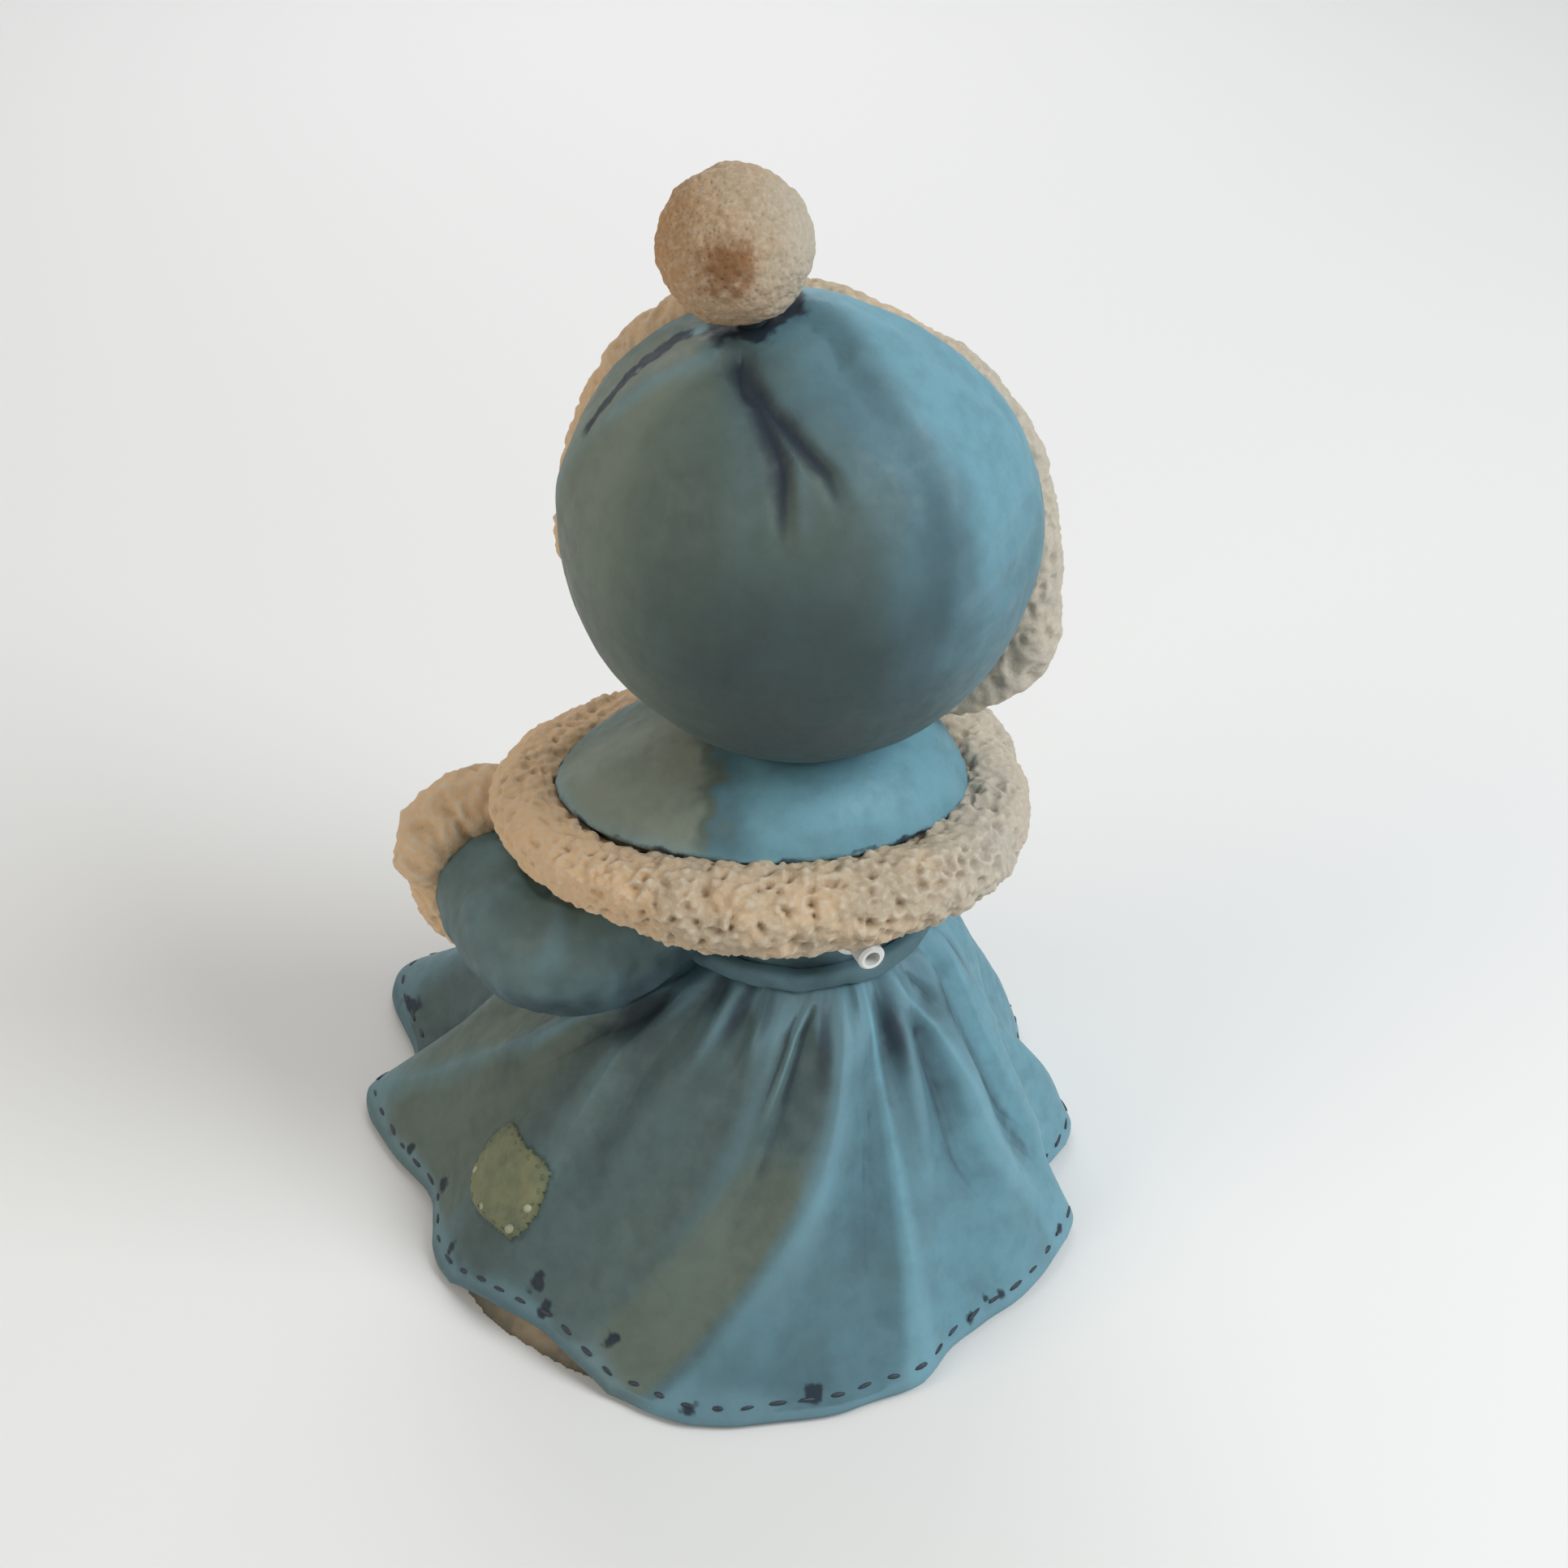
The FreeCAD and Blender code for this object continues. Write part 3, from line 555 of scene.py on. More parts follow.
# soft pockets of shade between the folds: angle, drop, reach in degrees and in drop, strength
skirtPockets = [(69.8, 0.06, 4.5, 0.10, 0.85), (80, 0.05, 3.0, 0.07, 0.6),
                (101, 0.11, 3.2, 0.13, 0.8), (126, 0.13, 4.2, 0.13, 0.95),
                (151, 0.15, 4.5, 0.11, 0.75), (38, 0.15, 13, 0.11, 0.8),
                (58, 0.04, 7, 0.07, 0.8), (112, 0.02, 2.2, 0.05, 0.5), (170, 0.12, 5, 0.10, 0.5),
                (12, 0.42, 7, 0.22, 0.40), (53, 0.42, 6, 0.25, 0.35), (352, 0.40, 5, 0.2, 0.35)]
# spots where the dark wash has pooled: angle, height above the hem, radius
hemStains = [(70.6, 5.4, 1.5), (57, 3.0, 1.2), (53.5, 5.4, 1.5), (86, 1.8, 1.4), (104.5, 2.9, 1.4),
             (137, 3.1, 1.2), (140, 2.6, 0.9), (133, 2.2, 0.8), (33, 4.0, 0.9), (17.5, 4.6, 1.4),
             (6, 3.6, 0.9), (332, 2.9, 1.4), (157, 2.4, 0.7), (170, 3.4, 0.8), (225, 3.2, 1.0),
             (255, 2.6, 0.8), (310, 3.6, 1.0)]
# painted light, above 0, or painted shade on each part of the skirt, and how much olive tint with
# painted warm shade it took
skirtPaintedLight = {"all": -0.10, "left": -0.30, "beside": 0.42, "right": 0.80, "farLeft": 0.30,
              "flank": 0.50, "stripe": 0.38, "low": 0.22}
skirtEarthAndPaintedLight = {"left": 0.55, "farLeft": 0.55, "stripe": 0.60}
leftHemShade = 0.40


def alongLine(line, drops):
    # the angle of a crest at each drop
    return np.interp(drops, [point[0] for point in line], [point[1] for point in line])


def skirtHit(tree, angle, height):
    # the cast skirt's radius at an angle and a height, or None where it is open
    turn = math.radians(angle)
    out = Vector((math.cos(turn), math.sin(turn), 0))
    middle = Vector((waist.x * height / skirtHigh.z, 0, height))
    start = skirtPiece["reach"] * mm
    spot, _, _, reach = tree.ray_cast(middle + out * start, -out)
    if spot is None or (spot - middle).dot(out) < skirtPiece["core"] * mm:
        return None
    return start - reach


def hemHeight(tree, angle):
    # the lowest height at which the skirt still has its outer wall
    low, high = skirtLow.z, skirtHigh.z * 0.6
    if skirtHit(tree, angle, low + 0.05 * mm):
        return low
    for _ in range(12):
        middle = (low + high) / 2
        if skirtHit(tree, angle, middle):
            high = middle
        else:
            low = middle
    return high


def skirtDetail(angles, drops):
    # how far the finer folds stand off the cast skirt, in millimetres
    grow = np.clip(drops / 0.10, 0, 1) * (1 - 0.35 * drops)
    widen = 0.75 + 0.5 * drops
    total = np.zeros_like(angles)
    for line, before, after, height, sharpness, last in skirtRidges:
        distance = wrapDegrees(angles - alongLine(line, drops))
        halfWidth = np.where(distance < 0, before, after) * widen
        share = np.abs(distance) / halfWidth
        fade = height * grow * smoothStep(last, last * 0.5, drops)
        total += fade * crest(share, 1.0, sharpness)
        if before < 12:
            total -= 0.28 * fade * crest(share - 1.25, 0.9, 1.5)
    for angle, fade, height in waistGathers:
        share = np.clip(1 - drops / fade, 0, 1) * np.clip(drops / 0.03, 0, 1)
        distance = wrapDegrees(angles - angle)
        beside = 0.5 * crest(np.abs(distance) - 4.2, 2.8, 1.2)
        total += height * share * (crest(distance, 3.2, 1.2) - beside)
    for angle, drop, reach, tall, height in skirtSwells:
        away = np.hypot(wrapDegrees(angles - angle) / reach, (drops - drop) / tall)
        total += height * smoothStep(1.0, 0.0, away)
    dice = random.Random(skirtPiece["creaseSeed"])
    for _ in range(skirtPiece["creases"]):
        start, reach = dice.uniform(0, 360), dice.uniform(0.2, 0.55)
        first, width = dice.uniform(0.0, 0.7), dice.uniform(1.8, 4.0)
        height = dice.uniform(0.08, 0.22)
        lean = dice.uniform(-14, 14)
        share = np.clip(1 - np.abs(drops - first - reach / 2) / (reach / 2), 0, 1) ** 0.7
        distance = wrapDegrees(angles - start - lean * (drops - first))
        total += height * share * crest(distance, width, 1.5)
    return total


def skirtMarks(points, angles, drops, above):
    # where the skirt gets painted light and painted shade, an olive tint with painted warm shade,
    # painted shade in its pockets, and spots of pooled dark wash
    off = wrapDegrees(angles - alongLine(mainCrest, drops))
    turned = wrapDegrees(angles - 90)
    left = smoothStep(2, -4, off) * smoothStep(-190, -150, turned)
    farLeft = smoothStep(40, 10, angles) + smoothStep(340, 350, angles)
    stripe = band(off, -20, -14, -4, -1) * smoothStep(0.30, 0.5, drops)
    tone = skirtPaintedLight["all"] + skirtPaintedLight["left"] * left + skirtPaintedLight["farLeft"] * farLeft
    tone += skirtPaintedLight["beside"] * band(off, -1, 3, 11, 20) * smoothStep(0.80, 0.25, drops)
    tone += skirtPaintedLight["right"] * band(turned, 44, 74, 110, 150)
    tone += skirtPaintedLight["flank"] * band(turned, 24, 36, 52, 64) * smoothStep(0.28, 0.5, drops)
    tone += skirtPaintedLight["stripe"] * stripe
    tone += skirtPaintedLight["low"] * band(off, -2, 2, 40, 66) * smoothStep(0.55, 0.9, drops)
    for which, halfWidth, strength in skirtLights:
        line, last = skirtRidges[which][0], skirtRidges[which][5]
        distance = wrapDegrees(angles - alongLine(line, drops)) / (0.7 + 0.6 * drops)
        tone += strength * softFold(distance, halfWidth) * smoothStep(last, last * 0.5, drops)
    earthAndPaintedLight = skirtEarthAndPaintedLight["left"] * left + skirtEarthAndPaintedLight["farLeft"] * farLeft
    earthAndPaintedLight += skirtEarthAndPaintedLight["stripe"] * stripe
    shade = np.zeros(len(points))
    for angle, drop, reach, tall, strength in skirtPockets:
        away = np.hypot(wrapDegrees(angles - angle) / reach, (drops - drop) / tall)
        shade = np.maximum(shade, strength * smoothStep(1.25, 0.2, away))
    shade = np.maximum(shade, leftHemShade * left * smoothStep(2.4, 0.8, above))
    pools = np.zeros(len(points))
    wander = layeredNoise(points, 1.6, 3, 21)
    for spotAngle, spotHeight, spotRadius in hemStains:
        across = np.radians(wrapDegrees(angles - spotAngle)) * 50
        away = np.hypot(across, (above - spotHeight) * 0.85) / spotRadius
        pools = np.maximum(pools, smoothStep(1.25, 0.25, away + wander * 0.55))
    return {"tone": tone, "earthAndPaintedLight": earthAndPaintedLight, "shade": shade, "stainAndShadow": pools}


def buildSkirt():
    # rows of points cast onto the CAD skirt, moved by the folds, and closed by an inner wall
    tree = cadTree("skirt")
    columns, rows = skirtPiece["columns"], skirtPiece["rows"]
    angles = np.arange(columns) * 360.0 / columns
    lowest = np.array([hemHeight(tree, angle) for angle in angles])
    points = np.zeros((rows, columns, 3))
    for row, share in enumerate(np.linspace(0, 1, rows) ** 0.92):
        for column, angle in enumerate(angles):
            fall = lowest[column] - skirtHigh.z + 0.04 * mm
            height = skirtHigh.z - 0.02 * mm + fall * share
            radius = skirtHit(tree, angle, height)
            points[row, column] = radius if radius else points[row - 1, column, 0], height, angle
    radius, height, angle = points[..., 0], points[..., 1], points[..., 2]
    drops = 1 - height / skirtHigh.z
    above = (height - lowest[None, :]) / mm
    roll = np.clip(1 - above / skirtPiece["hemRound"], 0, 1)
    # the hem rolls in a little, and the cloth ends in a soft edge
    detail = skirtDetail(angle, drops) - 0.55 * roll ** 2
    turn = np.radians(angle)
    middle = waist.x * height / skirtHigh.z

    def place(away, lift=0.0):
        reach = radius + away
        across, along = middle + reach * np.cos(turn), reach * np.sin(turn)
        return np.stack([across, along, height + lift], axis=-1)

    outer = place(detail * skirtPiece["outward"] * mm,
                  detail * skirtPiece["upward"] * mm * (1 - roll))
    lumps = layeredNoise(outer.reshape(-1, 3), 7.0, 4, 5).reshape(radius.shape)
    outer += (place(1.0) - place(0.0)) * (lumps * 0.10 * mm)[..., None]
    outer[..., 2] = np.maximum(outer[..., 2], skirtLow.z)
    picks = np.linspace(rows - 1, 4, skirtPiece["innerRows"]).astype(int)
    # the inside follows the dents, so that it never comes through
    dents = np.minimum(detail, 0) * skirtPiece["outward"]
    inner = place((dents - skirtPiece["wall"]) * mm)[picks]
    inner[-1] = place(-skirtPiece["topWall"] * mm)[0]
    rings = np.concatenate([outer, inner])
    count = len(rings)
    faces = []
    for row in range(count):
        after = (row + 1) % count
        for column in range(columns):
            beside = (column + 1) % columns
            faces.append((row * columns + column, row * columns + beside,
                          after * columns + beside, after * columns + column))
    mesh = meshFrom("skirtCloth", rings.reshape(-1, 3), faces)
    facesOutwards(mesh)
    innerCount = len(picks) * columns
    # the inner wall has the paint of the middle height, away from the hem
    marks = skirtMarks(vertexArray(mesh),
                       np.concatenate([angle.ravel(), np.tile(angles, len(picks))]),
                       np.concatenate([drops.ravel(), np.full(innerCount, 0.5)]),
                       np.concatenate([above.ravel(), np.full(innerCount, 50.0)]))
    for name, values in marks.items():
        storeValues(mesh, name, values)
    storeRelief(mesh, 14, 260)
    piece = makeObject("skirtCloth", mesh, cloth)
    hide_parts("skirt")
    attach(piece, "figure")
    return piece, outer, height, above


skirtCloth, skirtGrid, skirtHeights, skirtAbove = buildSkirt()
print("skirt made,", len(skirtCloth.data.polygons), "faces")


def onSkirt(angle, height):
    # the point of the finished skirt at an angle and a height
    columns = skirtPiece["columns"]
    place = (angle % 360.0) * columns / 360.0
    first = int(place) % columns
    found = []
    for column in (first, (first + 1) % columns):
        rows = skirtHeights[::-1, column]
        found.append([np.interp(height, rows, skirtGrid[::-1, column, axis]) for axis in range(3)])
    share = place - int(place)
    return Vector(found[0]) * (1 - share) + Vector(found[1]) * share


def stitchTree(name, material):
    # short raised stitches at even steps along a line
    tree = bpy.data.node_groups.new(name, "GeometryNodeTree")
    sockets, link = tree.interface, tree.links.new
    sockets.new_socket("Geometry", in_out="INPUT", socket_type="NodeSocketGeometry")
    for label in ("Spacing", "Length", "Width", "Height", "Wander"):
        sockets.new_socket(label, in_out="INPUT", socket_type="NodeSocketFloat")
    sockets.new_socket("Seed", in_out="INPUT", socket_type="NodeSocketInt")
    sockets.new_socket("Geometry", in_out="OUTPUT", socket_type="NodeSocketGeometry")
    start, end = addNode(tree, "NodeGroupInput"), addNode(tree, "NodeGroupOutput")
    line = addNode(tree, "GeometryNodeMeshToCurve")
    steps = addNode(tree, "GeometryNodeCurveToPoints", mode="LENGTH")
    link(start.outputs["Geometry"], line.inputs["Mesh"])
    link(line.outputs["Curve"], steps.inputs["Curve"])
    link(start.outputs["Spacing"], steps.inputs["Length"])
    # a hand-sewn stitch never lies quite along the line
    sway = addNode(tree, "FunctionNodeRandomValue", data_type="FLOAT_VECTOR")
    sway.inputs[0].default_value = (-1, -1, -1)
    link(start.outputs["Seed"], sway.inputs["Seed"])
    swayed = addNode(tree, "ShaderNodeVectorMath", operation="MULTIPLY_ADD")
    link(sway.outputs[0], swayed.inputs[0])
    link(start.outputs["Wander"], swayed.inputs[1])
    link(steps.outputs["Tangent"], swayed.inputs[2])
    outwards = addNode(tree, "GeometryNodeInputNamedAttribute", data_type="FLOAT_VECTOR")
    outwards.inputs["Name"].default_value = "out"
    along = addNode(tree, "FunctionNodeAlignRotationToVector", axis="X")
    upright = addNode(tree, "FunctionNodeAlignRotationToVector", axis="Z", pivot_axis="X")
    link(swayed.outputs[0], along.inputs["Vector"])
    link(along.outputs["Rotation"], upright.inputs["Rotation"])
    link(outwards.outputs["Attribute"], upright.inputs["Vector"])
    size = addNode(tree, "ShaderNodeCombineXYZ")
    for label, socket in (("Length", "X"), ("Width", "Y"), ("Height", "Z")):
        link(start.outputs[label], size.inputs[socket])
    bead = addNode(tree, "GeometryNodeMeshUVSphere")
    bead.inputs["Segments"].default_value = 8
    bead.inputs["Rings"].default_value = 5
    bead.inputs["Radius"].default_value = 0.5
    shaped = addNode(tree, "GeometryNodeTransform")
    link(bead.outputs["Mesh"], shaped.inputs["Geometry"])
    link(size.outputs["Vector"], shaped.inputs["Scale"])
    uneven = addNode(tree, "FunctionNodeRandomValue", data_type="FLOAT_VECTOR")
    uneven.inputs[0].default_value = (0.70, 0.75, 0.8)
    uneven.inputs[1].default_value = (1.20, 1.15, 1.1)
    link(start.outputs["Seed"], uneven.inputs["Seed"])
    stitches = addNode(tree, "GeometryNodeInstanceOnPoints")
    link(steps.outputs["Points"], stitches.inputs["Points"])
    link(shaped.outputs["Geometry"], stitches.inputs["Instance"])
    link(upright.outputs["Rotation"], stitches.inputs["Rotation"])
    link(uneven.outputs[0], stitches.inputs["Scale"])
    real = addNode(tree, "GeometryNodeRealizeInstances")
    painted = addNode(tree, "GeometryNodeSetMaterial")
    painted.inputs["Material"].default_value = material
    link(stitches.outputs["Instances"], real.inputs["Geometry"])
    link(real.outputs["Geometry"], painted.inputs["Geometry"])
    link(painted.outputs["Geometry"], end.inputs["Geometry"])
    return tree


def addStitches(name, tree, loop, outwards, sizes, material):
    # stitches round a closed line of points, each with the direction that it faces
    count = len(loop)
    mesh = meshFrom(name, loop, [], [(index, (index + 1) % count) for index in range(count)])
    facing = mesh.attributes.new("out", "FLOAT_VECTOR", "POINT")
    facing.data.foreach_set("vector", np.array(outwards, dtype=np.float32).ravel())
    piece = bpy.data.objects.new(name, mesh)
    scene.collection.objects.link(piece)
    modifier = piece.modifiers.new("stitches", "NODES")
    modifier.node_group = tree
    for item in tree.interface.items_tree:
        if item.in_out == "INPUT" and item.name in sizes:
            modifier[item.identifier] = sizes[item.name]
    sewn = bakedMesh(piece)
    bpy.data.objects.remove(piece)
    sewn.name = name
    finished = makeObject(name, sewn, material)
    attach(finished, "figure")
    return finished


# the hem is sewn with dark thread
hemStitches = {"Spacing": 4.2 * mm, "Length": 2.5 * mm, "Width": 0.75 * mm, "Height": 0.42 * mm,
               "Wander": 0.16, "Seed": 4}
hemStitchLift = 2.4          # millimetres above the hem


def hemStitchLine():
    # the line that the hem's stitches follow, and which way the cloth faces there
    columns = skirtPiece["columns"]
    loop = []
    for column in range(0, columns, 2):
        rows = skirtAbove[::-1, column]
        loop.append(Vector([np.interp(hemStitchLift, rows, skirtGrid[::-1, column, axis])
                            for axis in range(3)]))
    tree = treeOf(skirtCloth.data)
    return loop, [tree.find_nearest(point)[1] for point in loop]


hemLoop, hemFacing = hemStitchLine()
hemSewing = addStitches("hemStitches", stitchTree("hemStitching", stitchPaint), hemLoop, hemFacing,
                        hemStitches, stitchPaint)
print("hem sewn,", len(hemSewing.data.polygons), "faces")


# the patch is a padded square, sewn on askew
patchPiece = {
    "corners": [(23.4, 0.560), (45.2, 0.542), (46.8, 0.780), (21.8, 0.752)],     # angle and drop
    "steps": 46,
    "roundness": 0.66,
    "lift": 0.85,            # millimetres off the skirt
    "fray": 0.05,            # how far the cut edge wanders, as a share of the patch
    "fraySeed": 23,
    "search": Vector((0.6, 0.6, 0.5)) * mm,      # looks for the patch just outside the skirt
    "dots": [(34.6, 0.742), (44.2, 0.664), (43.0, 0.735), (26.6, 0.715)],
    "dotRadius": 0.62,
    "stitchInset": 0.90,
}
patchStitches = {"Spacing": 2.1 * mm, "Length": 1.15 * mm, "Width": 0.45 * mm, "Height": 0.30 * mm,
                 "Wander": 0.45, "Seed": 9}


def patchSpot(across, down):
    # a place on the skirt, from -1 to 1 across and down the patch
    roundness = patchPiece["roundness"]
    right = across * math.sqrt(1 - roundness * down * down / 2)
    low = down * math.sqrt(1 - roundness * across * across / 2)
    shares = ((1 - right) * (1 - low) / 4, (1 + right) * (1 - low) / 4,
              (1 + right) * (1 + low) / 4, (1 - right) * (1 + low) / 4)
    angle = sum(share * corner[0] for share, corner in zip(shares, patchPiece["corners"]))
    drop = sum(share * corner[1] for share, corner in zip(shares, patchPiece["corners"]))
    return onSkirt(angle, skirtHigh.z * (1 - drop))


def buildPatch():
    steps = patchPiece["steps"]
    tree = treeOf(skirtCloth.data)
    spots, facing, edge = [], [], []
    dice = random.Random(patchPiece["fraySeed"])
    fray = [[dice.uniform(-1, 1) for _ in range(steps + 1)] for _ in range(4)]
    for row in range(steps + 1):
        for column in range(steps + 1):
            across, down = 2 * column / steps - 1, 2 * row / steps - 1
            if column in (0, steps):
                across *= 1 + patchPiece["fray"] * fray[0 if column else 1][row]
            if row in (0, steps):
                down *= 1 + patchPiece["fray"] * fray[2 if row else 3][column]
            spot = patchSpot(across, down)
            spots.append(spot)
            facing.append(tree.find_nearest(spot)[1])
            edge.append(max(abs(across), abs(down)))
    spots, facing, edge = np.array(spots), np.array(facing), np.array(edge)
    fuzz = layeredNoise(spots, 1.1, 3, 51) * 0.11 + layeredNoise(spots, 5.0, 2, 53) * 0.16
    crown = np.clip((1.0 - edge) / 0.30, 0, 1) ** 0.55
    rise = patchPiece["lift"] * crown + fuzz * (0.4 + 0.6 * crown) + 0.10
    top = spots + facing * (rise * mm)[:, None]
    under = spots - facing * 0.35 * mm
    side = steps + 1
    faces = []
    for row in range(steps):
        for column in range(steps):
            corner = row * side + column
            square = (corner, corner + side, corner + side + 1, corner + 1)
            faces.append(square)
            faces.append(tuple(index + side * side for index in reversed(square)))
    rim = [column for column in range(side)] + [row * side + steps for row in range(1, side)]
    rim += [steps * side + column for column in range(steps - 1, -1, -1)]
    rim += [row * side for row in range(steps - 1, 0, -1)]
    for index, first in enumerate(rim):
        after = rim[(index + 1) % len(rim)]
        faces.append((first, after, after + side * side, first + side * side))
    mesh = meshFrom("patchCloth", np.concatenate([top, under]), faces)
    facesOutwards(mesh)
    storeRelief(mesh, 5, 40)
    storeValues(mesh, "tone", np.tile(smoothStep(0.86, 1.0, edge) * 0.45, 2))
    piece = makeObject("patchCloth", mesh, patchPaint)
    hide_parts("skirt_patch")
    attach(piece, "figure")
    return piece


def patchBorder():
    # the line that the patch's stitches follow, and which way the patch faces there
    inset = patchPiece["stitchInset"]
    tree = treeOf(patchCloth.data)
    loop, facing = [], []
    sides = (((-1, -1), (1, -1)), ((1, -1), (1, 1)), ((1, 1), (-1, 1)), ((-1, 1), (-1, -1)))
    for (firstAcross, firstDown), (lastAcross, lastDown) in sides:
        for step in range(12):
            share = step / 12
            across = (firstAcross + (lastAcross - firstAcross) * share) * inset
            down = (firstDown + (lastDown - firstDown) * share) * inset
            found = tree.find_nearest(patchSpot(across, down) + patchPiece["search"])
            loop.append(found[0])
            facing.append(found[1])
    return loop, facing


def addPatchDots():
    # pale spots of paint on the patch
    tree = treeOf(patchCloth.data)
    work = bmesh.new()
    for index, (angle, drop) in enumerate(patchPiece["dots"]):
        spot = onSkirt(angle, skirtHigh.z * (1 - drop))
        found, facing, _, _ = tree.find_nearest(spot + patchPiece["search"])
        made = bmesh.ops.create_uvsphere(work, u_segments=12, v_segments=8, radius=1.0)
        turned = Vector((0, 0, 1)).rotation_difference(facing)
        reach = patchPiece["dotRadius"] * (0.85 + 0.3 * (index % 3) / 2)
        for vertex in made["verts"]:
            shaped = Vector((vertex.co.x * 1.15, vertex.co.y, vertex.co.z * 0.55)) * reach
            vertex.co = found + (turned @ shaped) * mm
    mesh = bpy.data.meshes.new("patchDots")
    work.to_mesh(mesh)
    work.free()
    piece = makeObject("patchDots", mesh, patchDotPaint)
    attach(piece, "figure")


def paintShadowAround(piece, other, reach, strength):
    # painted shadow round the join between two pieces
    mesh = piece.data
    points = vertexArray(mesh)
    gaps = gapTo(treeOf(other.data), points, reach * 1.5)
    spot = mesh.attributes["stainAndShadow"]
    values = np.empty(len(points), dtype=np.float32)
    spot.data.foreach_get("value", values)
    wander = layeredNoise(points, 1.4, 2, 57) * reach * 0.3
    ring = strength * smoothStep(reach, reach * 0.15, gaps + wander)
    spot.data.foreach_set("value", np.maximum(values, ring).astype(np.float32))


patchCloth = buildPatch()
borderLoop, borderFacing = patchBorder()
addStitches("patchStitches", stitchTree("patchStitching", patchStitchPaint), borderLoop,
            borderFacing, patchStitches, patchStitchPaint)
addPatchDots()
paintShadowAround(skirtCloth, patchCloth, 1.2, 0.40)
print("patch sewn on")


def addSculpted(node, name, voxel, material, shape=None, marks=None,
                body="figure", fine=10, broad=160):
    # a dense skin over a CAD node, pushed in and out along its normals
    mesh = denseCopy(node, name, voxel)
    if shape:
        points, normals = vertexArray(mesh), normalArray(mesh)
        moveVertices(mesh, points + normals * (shape(points, normals) * mm)[:, None])
    storeRelief(mesh, fine, broad)
    if marks:
        for mark, values in marks(vertexArray(mesh), normalArray(mesh)).items():
            storeValues(mesh, mark, values)
    piece = makeObject(name, mesh, material)
    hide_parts(node)
    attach(piece, body)
    return piece


hoodPiece = {
    "outerSkin": (28.4, 29.0),           # the cloth's outside lies beyond this, in millimetres
    "evened": (34, 52),                  # latitudes over which the cast gathers are evened out
    "bin": 2.0,
    "lumps": 0.20,
    "rippleTall": 4.5,                   # half a ripple's height and width, in degrees
    "rippleWide": 26,
}
# (latitude, angle) about the stem along each fold, half widths before and after it, height, lowest
# latitude
mainHoodCrest = [(80, 200), (73.7, 180), (61.3, 149), (43.7, 141.6), (27.1, 137.9), (8.5, 131),
                 (-6, 128)]
hoodFolds = [
    (mainHoodCrest, 9, 24, 1.1, -4),
    ([(82, 66), (64, 30), (55, 22.8), (38, 12), (20, 6)], 14, 8, 0.8, 18),
    ([(70, 172), (49, 160), (26, 166), (4, 168), (-20, 160)], 9, 9, 0.40, -16),
    ([(60, 118), (40, 119), (15, 116), (-10, 112)], 10, 10, 0.30, -6),
    ([(62, 50), (36, 52), (10, 56), (-15, 60)], 11, 11, 0.28, -12),
]
# dark creases: their line, half width, depth, lowest latitude
hoodStrokes = [
    ([(84, 60), (80.6, 66), (62.3, 90.4), (48.1, 94.9), (34.0, 92.2), (28, 91)], 4.6, 1.0, 30),
    ([(84, 64), (76, 78), (69.6, 84.9), (56.4, 99.1), (42.6, 107.6), (33.8, 109)], 4.2, 0.95, 35),
]
hoodGroove = [(74, 0), (70.3, 2.5), (61.2, 3.6), (48.2, 9.5), (40, 10)]
hoodRipples = [(12, 152, 0.45), (2, 150, 0.4), (-9, 148, 0.4)]       # latitude, angle, height
# painted light, above 0, or painted shade on each part of the hood
hoodPaintedLight = {"all": -0.40, "near": 0.24, "right": 0.54, "rightUpper": 0.46, "low": -0.38,
             "left": 0.40, "ridge": 0.30, "darkest": -0.95, "lightest": 0.90}
hoodEarthAndPaintedLight = {"back": 0.75, "left": 0.75}


def hoodPlaces(points):
    # latitude and angle about the stem, and the distance from the hood's middle
    turnBack = Vector((0, 0, 1)).rotation_difference(stemAxis).inverted().to_matrix()
    local = (points - np.array(hoodCentre)) @ np.array(turnBack).T
    reach = np.linalg.norm(local, axis=1)
    angle = np.degrees(np.arctan2(local[:, 1], local[:, 0]))
    latitude = np.degrees(np.arcsin(np.clip(local[:, 2] / reach, -1, 1)))
    return latitude, angle, reach


def hoodLineDistance(line, latitude, angle):
    steps = sorted(line)
    middle = np.interp(latitude, [step[0] for step in steps], [step[1] for step in steps])
    return wrapDegrees(angle - middle) * np.clip(np.cos(np.radians(latitude)), 0.2, 1)


def evened(latitude, reach, outside):
    # how far each point lies from the mean reach at its latitude
    steps = np.round(latitude / hoodPiece["bin"]).astype(int) + 90
    weight = np.bincount(steps, outside, 200)
    mean = np.bincount(steps, outside * reach, 200) / np.maximum(weight, 1e-6)
    known = np.nonzero(weight > 3)[0]
    return np.interp(latitude, (known - 90) * hoodPiece["bin"], mean[known]) - reach


